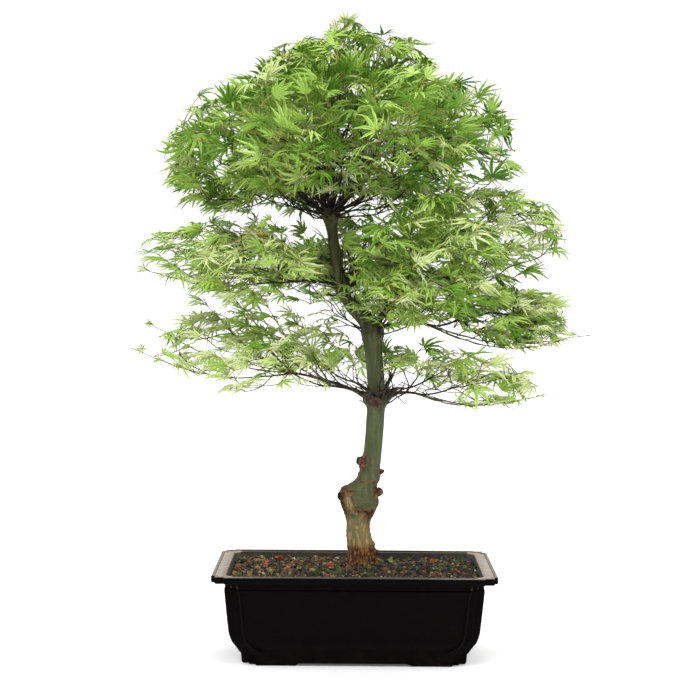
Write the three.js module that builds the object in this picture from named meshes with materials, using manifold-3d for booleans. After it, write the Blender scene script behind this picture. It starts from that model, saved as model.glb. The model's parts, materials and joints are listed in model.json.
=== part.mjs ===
// A Japanese maple grown as a bonsai, in a rectangular plastic training pot.
//
// Millimetres, +Z up. The origin is the middle of the pot's underside, on the surface that it
// stands on. +X runs along the pot's length and +Y to its back.
//
// The trunk is grafted: a rough rootstock swells at the union, and the smooth scion above it leans,
// forks and carries on to a head. Limbs leave it in whorls. Each limb ends in one mass of foliage:
// twigs that branch from one stem, with palmate leaves on their joints.

import * as THREE from "three";
import { ConvexHull } from "three/addons/math/ConvexHull.js";
import { mergeVertices } from "three/addons/utils/BufferGeometryUtils.js";
import Module from "manifold-3d";

const wasm = await Module();
wasm.setup();
const { Manifold } = wasm;

// ---------------------------------------------------------------- driving dimensions

const GAP = 0.3; // clear between pieces that rest on each other

const POT_LENGTH = 305; // over the rim
const POT_WIDTH = 212;
const POT_HEIGHT = 100;
const RIM_FLANGE = 15; // width of the rim's flat top
const RIM_DEPTH = 8;
const FOOT_HEIGHT = 11;
const FLOOR_LOW = 5; // underside of the floor, above the feet
const FLOOR_HIGH = 8.5;
const BODY_CORNER = { run: 15, step: 7.5 }; // its steps' run along a side, and their depth
const RIM_CORNER = { run: 14, step: 4 };
const PANEL = { sink: 1.6, border: 1.5, slope: 1 }; // the shallow panel in each side
const HOLLOW_CORNER = { low: 26, high: 10, bulge: 0.34 }; // the blunt corners of the pot's inside
const ARCH = { length: 126, width: 64, height: 4.5, slope: 7 }; // gaps between the feet
const DRAIN = { radius: 6, x: 62, y: 30, sides: 12 };
const BOSS = { radius: 12, sides: 20 }; // the flat boss under the floor's middle

const SOIL_TOP = 95;
const SOIL_EDGE_DROP = 3.5; // the soil falls this far from the trunk to the walls
// The soil's own surface, which is all lumps: how far it stands in from the rim's edge, how high its
// lumps are at most and at least, its rings as shares of its outline down to the level seat, and how
// many parts its sides are cut into. A lump spans two rings and two parts.
const SOIL = {
  inset: 18,
  lumps: { high: 2.8, low: 1.8 },
  shares: [0.93, 0.81, 0.68, 0.55, 0.43, 0.32],
  seat: 0.24,
  parts: { long: 15, short: 9 },
  seed: 5,
};
const TREE_OFFSET = -2.2; // the trunk stands this far from the pot's middle, along X

// From here on, heights are above the soil.

// The trunk's course, from the flat cut at the soil to its tip in the head.
const TRUNK_COURSE = [
  [9, 0, 0],
  [6, 0, 44],
  [8.5, 0, 78],
  [18, -1, 104],
  [24, -2, 165],
  [25, -1, 195],
  [21, 1, 245],
  [18, 2, 268],
  [-5, 5, 291],
  [-16, 6, 314],
  [-22, 6, 351],
  [-28, 4, 397],
];
const TRUNK_SIDES = 11;
const TRUNK_STEP = 9.5;
const ROOTSTOCK_RADIUS = 13.2;
const SCION_RADIUS = 10.6;
const TIP_RADIUS = 6;
const TRUNK_TAPER = 0.004;
const TRUNK_FLUTE = { depth: 0.6, count: 3, twist: 1 / 30 }; // the faint ridges up the trunk
const GRAFT = { low: 72, high: 98 }; // where the rootstock gives way to the scion
const FORK = { low: 262, high: 296 }; // where the trunk thins to its leader
const STUB = { rise: 0.18, taper: 0.55, sides: 7 };

// Swellings on the trunk: height, extra radius and half-height of each.
const SWELLINGS = {
  flare: { height: -4, extra: 3.4, spread: 17 },
  union: { height: 76, extra: 9, spread: 14 },
  scar: { height: 100, extra: 1.2, spread: 4 },
  low: { height: 186, extra: 3.6, spread: 5.5 },
  fork: { height: 262, extra: 3.2, spread: 13 },
  elbow: { height: 306, extra: 1.6, spread: 8 },
  head: { height: 392, extra: 4.4, spread: 11 },
};

// Stubs of pruned shoots: height, direction round the trunk in degrees, length and radius.
const STUBS = [
  { height: 75, turn: 183, length: 24.5, radius: 5 },
  { height: 80, turn: 352, length: 22, radius: 4.5 },
  { height: 105, turn: 3, length: 16, radius: 2.6 },
  { height: 117, turn: 178, length: 16, radius: 5 },
  { height: 186, turn: 262, length: 15, radius: 4 },
  { height: 309, turn: 0, length: 11, radius: 3 },
];

const LIMB_SIDES = 5;
const LIMB_RINGS = 6;
const LIMB_RADIUS = 2.5; // at the trunk
const LIMB_TIP_RADIUS = 1.5;
const LIMB_BOW = 7; // how far a limb bows from its chord

// Where the limbs leave the trunk, by height.
const WHORLS = { low: 186, fork: 264, elbow: 307, head: 391 };

// The masses of foliage: the whorl that its limb springs from, its middle, half its size each way,
// how many twig joints carry leaves, and how far along the way to the middle the limb reaches.
const MASSES = {
  crown_top: { whorl: "head", middle: [-16, 0, 530], half: [116, 104, 82], joints: 17, reach: 0.4 },
  crown_left: { whorl: "head", middle: [-126, 0, 460], half: [102, 86, 80], joints: 12, reach: 0.45 },
  crown_left_back: { whorl: "head", middle: [-70, 104, 464], half: [94, 90, 80], joints: 10, reach: 0.42 },
  crown_right_back: { whorl: "head", middle: [44, 104, 466], half: [92, 90, 80], joints: 10, reach: 0.42 },
  crown_right: { whorl: "head", middle: [98, 0, 464], half: [98, 86, 82], joints: 12, reach: 0.45 },
  crown_right_front: { whorl: "head", middle: [44, -104, 474], half: [92, 90, 74], joints: 10, reach: 0.42 },
  crown_left_front: { whorl: "head", middle: [-70, -104, 474], half: [94, 90, 72], joints: 10, reach: 0.42 },
  mid_left: { whorl: "elbow", middle: [-146, 0, 342], half: [100, 74, 52], joints: 10, reach: 0.42 },
  mid_left_front: { whorl: "elbow", middle: [-104, -94, 330], half: [82, 70, 48], joints: 8, reach: 0.45 },
  mid_left_back: { whorl: "elbow", middle: [-108, 94, 334], half: [82, 70, 50], joints: 8, reach: 0.45 },
  mid_back: { whorl: "elbow", middle: [4, 122, 342], half: [70, 70, 56], joints: 7, reach: 0.42 },
  mid_right_high: { whorl: "elbow", middle: [138, 4, 364], half: [118, 78, 62], joints: 12, reach: 0.42 },
  mid_right_front: { whorl: "fork", middle: [78, -98, 342], half: [84, 76, 78], joints: 11, reach: 0.42 },
  mid_right_back: { whorl: "fork", middle: [100, 94, 330], half: [86, 76, 68], joints: 9, reach: 0.42 },
  mid_right_low: { whorl: "fork", middle: [164, -4, 278], half: [94, 74, 42], joints: 10, reach: 0.42 },
  low_left: { whorl: "low", middle: [-156, 12, 244], half: [100, 68, 42], joints: 9, reach: 0.5 },
  low_left_front: { whorl: "low", middle: [-92, -66, 226], half: [88, 60, 44], joints: 7, reach: 0.42 },
  low_back: { whorl: "low", middle: [-40, 90, 230], half: [80, 68, 44], joints: 7, reach: 0.42 },
  low_right: { whorl: "low", middle: [126, -30, 207], half: [96, 66, 38], joints: 8, reach: 0.42 },
  low_right_back: { whorl: "low", middle: [92, 70, 214], half: [84, 62, 40], joints: 7, reach: 0.42 },
};
const CROWN_AXIS = -10; // where the crown's upright axis lies along X
const CELL_MARGIN = 1.2; // kept clear on each side of the plane between two masses

const TWIG_RADIUS = 1.5; // where a stem starts
const TWIG_TIP_RADIUS = 1;
const TWIG_TAPER = 170; // the way along the twigs over which they thin
const TWIG_SPACING = 24; // least distance between two joints
const STEM_LEAD = 12; // straight length of a stem before it may branch
const BALANCE = 0.35; // weight of the way back to the stem's foot when a joint picks its parent
const JOINT_REACH = 3.6; // from a joint's middle to the rings where its twigs and stalks begin
const JOINT_ANGLE = 50; // least angle between two twigs or stalks at a joint
const JOINT_MARGIN = [34, 34, 14]; // how far joints keep inside their space
const CORE = 0.3; // least share of a space's half size that joints may use
const TRIES = 1500;

const LEAF_LENGTH = 44; // of the middle lobe
const PETIOLE = 17;
const PETIOLE_RADIUS = 0.9;
const LEAF_THICKNESS = 2.2; // at the blade's middle, from where it thins to the edge
const RIB_ROOM = 3.5; // kept clear round a leaf's ribs and round limbs and twigs
const RIM_ROOM = 1; // kept clear round a leaf's outline
const LEAF_TRIES = 90;
const LEAVES_PER_JOINT = 3;
const LOBES = [
  { turn: -84, length: 0.66, notch: 0.34 },
  { turn: -40, length: 0.9, notch: 0.38 },
  { turn: 0, length: 1, notch: 0.38 },
  { turn: 40, length: 0.9, notch: 0.34 },
  { turn: 84, length: 0.66 },
];
const LOBE_DROOP = 0.2; // how far a lobe's tip hangs, as a share of its length

// ---------------------------------------------------------------- materials

const finish = (color, roughness) => new THREE.MeshStandardMaterial({ color, roughness, metalness: 0 });
const MATERIALS = {
  pot: finish(0x1d1918, 0.42),
  soil: finish(0x3f352a, 0.95),
  bark: finish(0x7d8566, 0.75),
  limb: finish(0x4a4031, 0.8),
  leaf: finish(0x6f9a3a, 0.55),
};

// ---------------------------------------------------------------- solids and meshes

const vec = (x, y, z) => new THREE.Vector3(x, y, z);
const radians = THREE.MathUtils.degToRad;
const UP = vec(0, 0, 1);

/** A number from 0 to 1 at each call, the same row of them for the same seed. */
function seeded(seed) {
  let state = seed * 7919 + 104729;
  return () => {
    state = (state * 1664525 + 1013904223) % 4294967296;
    return state / 4294967296;
  };
}

/** A closed solid from the corners of its triangles, which face out. */
function solidFrom(corners) {
  return solidOf(new THREE.BufferGeometry().setFromPoints(corners));
}

function solidOf(geometry) {
  const bare = geometry.clone();
  bare.deleteAttribute("normal");
  bare.deleteAttribute("uv");
  const merged = mergeVertices(bare, 1e-4);
  const vertProperties = new Float32Array(merged.attributes.position.array);
  const triVerts = new Uint32Array(merged.index.array);
  return new Manifold(new wasm.Mesh({ numProp: 3, vertProperties, triVerts }));
}

/** The largest body of a solid, with its sealed hollows filled and loose scraps dropped. */
function wholeBody(solid) {
  const bodies = solid.simplify(0.01).decompose();
  return bodies.reduce((best, body) => (body.volume() > best.volume() ? body : best));
}

/** A named mesh of a solid, with its own place at the point where the piece is fastened. */
function piece(name, solid, material, place = vec(0, 0, 0)) {
  const { vertProperties, triVerts, numProp } = solid.getMesh();
  const positions = new Float32Array((vertProperties.length / numProp) * 3);
  for (let i = 0; i < positions.length / 3; i++) {
    positions.set(vertProperties.subarray(i * numProp, i * numProp + 3), i * 3);
  }
  const geometry = new THREE.BufferGeometry();
  geometry.setAttribute("position", new THREE.BufferAttribute(positions, 3));
  geometry.setIndex(new THREE.BufferAttribute(triVerts, 1));
  geometry.translate(-place.x, -place.y, -place.z);
  geometry.computeVertexNormals();
  const mesh = new THREE.Mesh(geometry, material.clone());
  mesh.name = name;
  mesh.position.copy(place);
  return mesh;
}

/** The skin between two rings of equally many points. */
function tube(foot, head) {
  return foot.flatMap((p, i) => {
    const next = (i + 1) % foot.length;
    return [p, foot[next], head[next], p, head[next], head[i]];
  });
}

/** A flat fan of triangles that closes a ring. */
function fan(ring) {
  const middle = ring.reduce((sum, p) => sum.add(p), vec(0, 0, 0)).divideScalar(ring.length);
  return ring.flatMap((p, i) => [middle, p, ring[(i + 1) % ring.length]]);
}

/** A solid skinned over rings of equally many points, and closed at both ends. */
function loft(rings) {
  const walls = rings.slice(1).flatMap((ring, i) => tube(rings[i], ring));
  return solidFrom([...walls, ...fan(rings[0].toReversed()), ...fan(rings.at(-1))]);
}

/** Two directions square to a limb's own, with the first as level as can be. */
function sides(along) {
  const level = Math.abs(along.z) > 0.95 ? vec(0, 1, 0) : UP;
  const across = vec(0, 0, 0).crossVectors(level, along).normalize();
  return [across, vec(0, 0, 0).crossVectors(along, across)];
}

/** A ring of points square to a direction. */
function ringAt(middle, along, radius, count) {
  const [across, over] = sides(along);
  return Array.from({ length: count }, (_, i) => {
    const turn = (2 * Math.PI * i) / count;
    return middle
      .clone()
      .addScaledVector(across, radius * Math.cos(turn))
      .addScaledVector(over, radius * Math.sin(turn));
  });
}

// ---------------------------------------------------------------- pot and soil

/** All four quarters of an outline, from the points of its first quarter. */
function wholeOutline(quarter, z) {
  const turned = quarter.toReversed();
  return [
    ...quarter,
    ...turned.map(([x, y]) => [-x, y]),
    ...quarter.map(([x, y]) => [-x, -y]),
    ...turned.map(([x, y]) => [x, -y]),
  ].map(([x, y]) => vec(x, y, z));
}

/** A rectangle's outline whose corners step in twice, with a shallow panel sunk in each side. */
function steppedOutline(z, inset, { run, step }, sink = 0) {
  const [hx, hy] = [POT_LENGTH / 2 - inset, POT_WIDTH / 2 - inset];
  const edge = run + PANEL.border;
  const quarter = [
    [hx - sink, hy - edge - PANEL.slope],
    [hx, hy - edge],
    [hx, hy - run],
    [hx - step, hy - run],
    [hx - step, hy - step],
    [hx - run, hy - step],
    [hx - run, hy],
    [hx - edge, hy],
    [hx - edge - PANEL.slope, hy - sink],
  ];
  return wholeOutline(quarter, z);
}

/** A rectangle's outline with blunt corners, which stay clear of the steps in the pot's own. */
function bluntOutline(z, inset, cut = HOLLOW_CORNER.low) {
  const [hx, hy] = [POT_LENGTH / 2 - inset, POT_WIDTH / 2 - inset];
  const bulge = cut * HOLLOW_CORNER.bulge;
  const quarter = [
    [hx, hy - cut],
    [hx - bulge, hy - bulge],
    [hx - cut, hy],
  ];
  return wholeOutline(quarter, z);
}

// The pot's outside: height, how far it stands in from the rim's edge, its corners, and how deep its
// panels are sunk.
const RIM_LOW = POT_HEIGHT - RIM_DEPTH;
const OUTER_WALL = [
  [0, 32, BODY_CORNER],
  [FOOT_HEIGHT, 30.5, BODY_CORNER],
  [FOOT_HEIGHT + 1.5, 29.2, BODY_CORNER],
  [17, 26.2, BODY_CORNER, PANEL.sink],
  [25, 21.4, BODY_CORNER, PANEL.sink],
  [36, 18.2, BODY_CORNER, PANEL.sink],
  [81, 13.8, BODY_CORNER, PANEL.sink],
  [83, 13.2, BODY_CORNER],
  [RIM_LOW, 12.6, BODY_CORNER],
  [RIM_LOW, 1, RIM_CORNER],
  [RIM_LOW + 1.5, 0, RIM_CORNER],
  [POT_HEIGHT - 1, 0, RIM_CORNER],
  [POT_HEIGHT, 0.8, RIM_CORNER],
];

// Its inside: height, how far it stands in from the rim's edge, and its corners.
const SOIL_EDGE = SOIL_TOP - SOIL_EDGE_DROP;
const INNER_WALL = [
  [FLOOR_HIGH, 35],
  [18, 30.5],
  [26, 25.6],
  [37, 21.8],
  [SOIL_EDGE - 1, 17.4],
  [SOIL_TOP, 16, HOLLOW_CORNER.high],
  [POT_HEIGHT, RIM_FLANGE, HOLLOW_CORNER.high],
];
const UNDER_INSET = 36;

/** The pot, hollow above its floor and below it, with arches between its feet and drain holes. */
function potSolid() {
  const past = 1; // cuts run this far past the surface that they open
  const shell = loft(OUTER_WALL.map((level) => steppedOutline(...level)));
  const hollow = loft([...INNER_WALL, [POT_HEIGHT + past, RIM_FLANGE, HOLLOW_CORNER.high]].map(
    (level) => bluntOutline(...level),
  ));
  const under = loft([bluntOutline(-past, UNDER_INSET), bluntOutline(FLOOR_LOW, UNDER_INSET)]);
  const arch = (length, depth) => {
    const shape = new THREE.Shape();
    shape.moveTo(-length / 2, -past);
    shape.lineTo(length / 2, -past);
    shape.lineTo(length / 2 - ARCH.slope, ARCH.height);
    shape.lineTo(-length / 2 + ARCH.slope, ARCH.height);
    const geometry = new THREE.ExtrudeGeometry(shape, { depth, bevelEnabled: false });
    return geometry.rotateX(Math.PI / 2).translate(0, depth / 2, 0);
  };
  const upright = ({ radius, sides }, low, high, x = 0, y = 0) => {
    const column = new THREE.CylinderGeometry(radius, radius, high - low, sides);
    return solidOf(column.rotateX(Math.PI / 2).translate(x, y, (low + high) / 2));
  };
  const signs = [-1, 1];
  const drains = signs.flatMap((sx) =>
    signs.map((sy) => upright(DRAIN, -past, FLOOR_HIGH + past, sx * DRAIN.x, sy * DRAIN.y)),
  );
  const arches = [arch(ARCH.length, POT_WIDTH), arch(ARCH.width, POT_LENGTH).rotateZ(Math.PI / 2)];
  const cut = Manifold.union([hollow, under, ...arches.map(solidOf), ...drains]);
  return wholeBody(shell.subtract(cut).add(upright(BOSS, 0, FLOOR_LOW + past)));
}

/** The soil fills the pot and rises in lumps to a level seat, on which the trunk stands. */
function soilSolid() {
  const random = seeded(SOIL.seed);
  const walls = INNER_WALL.slice(0, 5).map(([z, inset]) => soilRing(z + GAP, inset + GAP, 1));
  const mound = SOIL.shares.map((share, ring) => {
    const height = SOIL_EDGE + SOIL_EDGE_DROP * (1 - share);
    return soilRing(height, SOIL.inset, share).map((p, i) => {
      const lump = THREE.MathUtils.lerp(SOIL.lumps.low, SOIL.lumps.high, random());
      return p.setZ(height + ((i + ring) % 2 ? -lump : lump) / 2);
    });
  });
  return loft([...walls, ...mound, soilRing(SOIL_TOP, SOIL.inset, SOIL.seat)]);
}

/** An outline inside the pot's hollow, shrunk to a share of its size, with points along its sides. */
function soilRing(z, inset, share) {
  const corners = bluntOutline(z, inset);
  const { long, short } = SOIL.parts;
  const parts = [1, 1, long, 1, 1, short, 1, 1, long, 1, 1, short];
  return corners.flatMap((corner, i) => {
    const next = corners[(i + 1) % corners.length];
    return Array.from({ length: parts[i] }, (_, k) =>
      corner.clone().lerp(next, k / parts[i]).multiply(vec(share, share, 1)),
    );
  });
}

// ---------------------------------------------------------------- trunk and limbs

const trunkCourse = new THREE.CatmullRomCurve3(
  TRUNK_COURSE.map((p) => vec(...p)),
  false,
  "centripetal",
);
const TRUNK_TOP = TRUNK_COURSE.at(-1)[2];

/** The middle of the trunk at a height above the soil. */
function trunkMiddle(height) {
  let [low, high] = [0, 1];
  for (let i = 0; i < 30; i++) {
    const half = (low + high) / 2;
    if (trunkCourse.getPoint(half).z < height) low = half;
    else high = half;
  }
  return trunkCourse.getPoint(low).setZ(height);
}

/** The trunk's radius at a height: its own taper and the swellings on it. */
function trunkRadius(height) {
  const { lerp, smoothstep } = THREE.MathUtils;
  const own = lerp(ROOTSTOCK_RADIUS, SCION_RADIUS, smoothstep(height, GRAFT.low, GRAFT.high));
  const leader = smoothstep(height, FORK.low, FORK.high);
  const tapered = lerp(own - height * TRUNK_TAPER, TIP_RADIUS, leader);
  return Object.values(SWELLINGS).reduce((radius, { height: at, extra, spread }) => {
    return radius + extra * Math.exp(-(((height - at) / spread) ** 2));
  }, tapered);
}

/** The trunk as level rings. Grown by a gap, it is also what the limbs' feet are cut back from. */
function trunkSolid(grow = 0) {
  const steps = Math.round(TRUNK_TOP / TRUNK_STEP);
  const rings = Array.from({ length: steps + 1 }, (_, k) => {
    const height = (TRUNK_TOP * k) / steps;
    const middle = trunkMiddle(height);
    const radius = trunkRadius(height) + grow;
    return Array.from({ length: TRUNK_SIDES }, (_, i) => {
      const turn = (2 * Math.PI * i) / TRUNK_SIDES;
      const flute = Math.sin(TRUNK_FLUTE.count * turn + height * TRUNK_FLUTE.twist);
      const fluted = radius + TRUNK_FLUTE.depth * flute;
      return vec(middle.x + fluted * Math.cos(turn), middle.y + fluted * Math.sin(turn), height);
    });
  });
  if (grow) {
    rings[0].forEach((p) => p.setZ(-grow));
    rings.at(-1).forEach((p) => p.setZ(TRUNK_TOP + grow));
  }
  const stubs = STUBS.map(({ height, turn, length, radius }) => {
    const from = trunkMiddle(height);
    const aim = vec(Math.cos(radians(turn)), Math.sin(radians(turn)), STUB.rise).normalize();
    const to = from.clone().addScaledVector(aim, length + grow);
    const [foot, head] = [radius + grow, radius * STUB.taper + grow];
    return loft([ringAt(from, aim, foot, STUB.sides), ringAt(to, aim, head, STUB.sides)]);
  });
  return wholeBody(Manifold.union([loft(rings), ...stubs]));
}

/** The curve of the limb to a mass. It bows over its chord, or under it where limbs rise steeply. */
function limbCurve({ whorl, middle, reach }) {
  const from = trunkMiddle(WHORLS[whorl]);
  const to = from.clone().lerp(vec(...middle), reach);
  const bow = whorl === "head" ? -LIMB_BOW : LIMB_BOW;
  const over = from.clone().lerp(to, 0.5).addScaledVector(UP, bow);
  return new THREE.QuadraticBezierCurve3(from, over, to);
}

function limbSolid(curve, trunkGrown) {
  const rings = Array.from({ length: LIMB_RINGS }, (_, k) => {
    const t = k / (LIMB_RINGS - 1);
    const radius = THREE.MathUtils.lerp(LIMB_RADIUS, LIMB_TIP_RADIUS, t);
    return ringAt(curve.getPoint(t), curve.getTangent(t), radius, LIMB_SIDES);
  });
  return wholeBody(loft(rings).subtract(trunkGrown));
}

// ---------------------------------------------------------------- foliage

/** The least distance between two straight stretches. */
function apart(a0, a1, b0, b1) {
  const [u, v, w] = [a1.clone().sub(a0), b1.clone().sub(b0), a0.clone().sub(b0)];
  const [a, b, c, d, e] = [u.dot(u), u.dot(v), v.dot(v), u.dot(w), v.dot(w)];
  const clamp = (value) => Math.min(Math.max(value, 0), 1);
  let s = clamp((b * e - c * d) / (a * c - b * b + 1e-9));
  const t = clamp((b * s + e) / c);
  s = clamp((b * t - d) / a);
  return w.addScaledVector(u, s).addScaledVector(v, -t).length();
}

/** The space that a mass keeps to: its own ellipsoid, cut by planes between it and the others. */
function spaceOf(mass) {
  const middle = vec(...mass.middle);
  const size = (m) => (m.half[0] + m.half[1] + m.half[2]) / 3;
  const planes = Object.values(MASSES)
    .filter((other) => other !== mass)
    .map((other) => {
      const away = vec(...other.middle).sub(middle);
      const distance = away.length();
      const share = 0.5 + (size(mass) ** 2 - size(other) ** 2) / (2 * distance ** 2);
      return { away: away.divideScalar(distance), limit: distance * share - CELL_MARGIN };
    });
  return (point, margin = [0, 0, 0]) => {
    const local = point.clone().sub(middle);
    const inner = mass.half.map((half, i) => Math.max(half - margin[i], half * CORE));
    if (local.divide(vec(...inner)).length() > 1) return false;
    return planes.every(({ away, limit }) => point.clone().sub(middle).dot(away) < limit);
  };
}

/** A twig's radius at a walk along the twigs from its stem's foot. */
function twigRadius(walk) {
  return THREE.MathUtils.lerp(TWIG_RADIUS, TWIG_TIP_RADIUS, Math.min(walk / TWIG_TAPER, 1));
}

/** Whether another twig or stalk has room at a joint, among those that meet there. */
function hasRoom(joint, way) {
  return joint.ways.every((other) => other.angleTo(way) > radians(JOINT_ANGLE));
}

/** The joints of a mass's twigs, the stem's foot first. Each later one grows from an earlier one. */
function growTwigs(mass, foot, aim, inSpace, obstacles, random) {
  const middle = vec(...mass.middle);
  const joints = [{ at: foot, walk: 0, ways: [aim], leaves: [] }];
  const grow = (at, parent) => {
    const way = at.clone().sub(parent.at).normalize();
    const walk = parent.walk + at.distanceTo(parent.at);
    joints.push({ at, parent, walk, ways: [way.clone().negate()], leaves: [] });
    if (parent !== joints[0]) parent.ways.push(way);
    const joined = [parent, joints.at(-1)];
    obstacles.push({ from: parent.at, to: at, radius: twigRadius(walk), room: RIB_ROOM, joined });
  };
  grow(foot.clone().addScaledVector(aim, STEM_LEAD), joints[0]);
  const found = [];
  for (let k = 0; k < TRIES && found.length < mass.joints; k++) {
    const [x, y, z] = [random(), random(), random()].map((r) => 2 * r - 1);
    const point = middle.clone().add(vec(x * mass.half[0], y * mass.half[1], z * mass.half[2]));
    const free = found.every((other) => other.distanceTo(point) > TWIG_SPACING * (1.5 - k / TRIES));
    if (free && inSpace(point, JOINT_MARGIN)) found.push(point);
  }
  found.sort((p, q) => p.distanceTo(foot) - q.distanceTo(foot));
  for (const point of found) {
    const reaches = (joint) => {
      const clear = ({ from, to, radius, joined }) =>
        joined?.includes(joint) || apart(joint.at, point, from, to) > radius + RIB_ROOM;
      return hasRoom(joint, point.clone().sub(joint.at)) && obstacles.every(clear);
    };
    const cost = (joint) => point.distanceTo(joint.at) + BALANCE * joint.walk;
    const parents = joints.slice(1).sort((p, q) => cost(p) - cost(q));
    const parent = parents.find(reaches);
    if (parent) grow(point, parent);
  }
  return joints;
}

/** A palmate leaf on its stalk: five lobes round the blade's foot, and the stalk back to its joint. */
function makeLeaf(joint, base, axis, face, length) {
  const across = vec(0, 0, 0).crossVectors(face, axis);
  const at = (x, y, z) =>
    base.clone().addScaledVector(axis, x).addScaledVector(across, y).addScaledVector(face, z);
  const polar = (turn, radius, drop) =>
    at(radius * Math.cos(radians(turn)), radius * Math.sin(radians(turn)), -drop);
  const edge = [at(0, -PETIOLE_RADIUS, 0)];
  const tips = [];
  LOBES.forEach((lobe, i) => {
    const reach = lobe.length * length;
    tips.push(polar(lobe.turn, reach, reach * LOBE_DROOP));
    edge.push(tips.at(-1));
    if (lobe.notch) edge.push(polar((lobe.turn + LOBES[i + 1].turn) / 2, lobe.notch * length, 0));
  });
  edge.push(at(0, PETIOLE_RADIUS, 0));
  const keel = at(0, 0, -PETIOLE_RADIUS);
  const ridge = at(0, 0, LEAF_THICKNESS - PETIOLE_RADIUS);
  const blade = [ridge, edge.at(-1), edge[0]];
  const facets = [];
  const rim = [];
  for (let i = 0; i + 1 < edge.length; i++) {
    facets.push([ridge, edge[i], edge[i + 1]]);
    rim.push({ from: edge[i], to: edge[i + 1], radius: 0, room: RIM_ROOM });
    blade.push(...facets.at(-1), keel, edge[i + 1], edge[i]);
  }
  const way = base.clone().sub(joint.at).normalize();
  const side = across.clone().addScaledVector(way, -across.dot(way)).normalize();
  const over = vec(0, 0, 0).crossVectors(way, side);
  const ring = [
    [side, 1],
    [side, -1],
    [over, -1],
  ].map(([direction, sign]) =>
    joint.at
      .clone()
      .addScaledVector(way, JOINT_REACH)
      .addScaledVector(direction, sign * PETIOLE_RADIUS),
  );
  const mouth = [edge.at(-1), edge[0], keel];
  return { base, way, ring, mouth, blade, facets, rim, tips, points: [...edge, ridge] };
}

/** Whether a straight stretch goes through a triangle. */
function pierces({ from, to }, [a, b, c]) {
  const ray = new THREE.Ray(from, to.clone().sub(from).normalize());
  const hit = ray.intersectTriangle(a, b, c, false, vec(0, 0, 0));
  return hit !== null && hit.distanceTo(from) < to.distanceTo(from);
}

/** Whether two stretches come too close to each other. Those that meet at the joint may. */
function isTight(one, other, joint) {
  if (one.joined && other.joined?.includes(joint)) return false;
  const room = one.radius + other.radius + Math.min(one.room, other.room);
  return apart(one.from, one.to, other.from, other.to) < room;
}

/** Whether a leaf's blade and the stretches and blades of its neighbours go through each other. */
function tangles(leaf, stretches, obstacles, blades) {
  const isNear = (point) => point.distanceTo(leaf.base) < 2 * LEAF_LENGTH;
  const isPierced = ({ facets }, lines) =>
    facets.some((facet) => lines.some((line) => pierces(line, facet)));
  if (isPierced(leaf, obstacles.filter(({ from }) => isNear(from)))) return true;
  return blades.filter(({ base }) => isNear(base)).some((other) => isPierced(other, stretches));
}

/** Grows the leaves on a joint, outward and sideways first, wherever they are clear of the rest. */
function growLeaves(joint, inSpace, obstacles, blades, random) {
  const along = joint.ways[0].clone().negate();
  const [across] = sides(along);
  const outward = joint.at.clone().sub(vec(CROWN_AXIS, 0, 0)).setZ(0).normalize();
  for (let k = 0; k < LEAF_TRIES && joint.leaves.length < LEAVES_PER_JOINT; k++) {
    const ease = k / LEAF_TRIES;
    const side = [1, -1, 0][k % 3];
    const stray = vec(random() - 0.5, random() - 0.5, random() - 0.5);
    const axis = vec(0, 0, 0)
      .addScaledVector(across, side)
      .addScaledVector(along, side ? 0.35 : 1)
      .addScaledVector(outward, 0.6)
      .multiplyScalar(1 - 0.9 * ease)
      .addScaledVector(stray, 0.6 + 4 * ease);
    axis.z *= 0.4;
    axis.normalize();
    const face = UP.clone().addScaledVector(outward, 0.9).addScaledVector(stray, 1.4);
    face.addScaledVector(axis, -face.dot(axis)).normalize();
    const length = LEAF_LENGTH * (1.05 - 0.3 * random());
    const lift = axis.clone().addScaledVector(UP, 0.35).normalize();
    const base = joint.at.clone().addScaledVector(lift, PETIOLE * (1.1 - 0.6 * ease * random()));
    if (!hasRoom(joint, lift)) continue;
    const leaf = makeLeaf(joint, base, axis, face, length);
    if (!leaf.points.every((p) => inSpace(p))) continue;
    const stretches = [
      ...leaf.tips.map((tip) => ({ from: base, to: tip, radius: 0, room: RIB_ROOM })),
      { from: joint.at, to: base, radius: PETIOLE_RADIUS, room: RIB_ROOM, joined: [joint] },
      ...leaf.rim,
    ];
    if (stretches.some((stretch) => obstacles.some((other) => isTight(stretch, other, joint)))) continue;
    if (tangles(leaf, stretches, obstacles, blades)) continue;
    obstacles.push(...stretches);
    blades.push(leaf);
    joint.leaves.push(leaf);
    joint.ways.push(leaf.way);
  }
}

/** The skin round a joint: the hull of the rings that meet there, open at each ring. */
function jointSkin(rings) {
  const hull = new ConvexHull().setFromPoints(rings.flat());
  const corners = ({ edge }) => [edge.prev, edge, edge.next].map((half) => half.head().point);
  const isRing = (face) => rings.some((ring) => face.every((p) => ring.includes(p)));
  return hull.faces.map(corners).filter((face) => !isRing(face)).flat();
}

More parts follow.
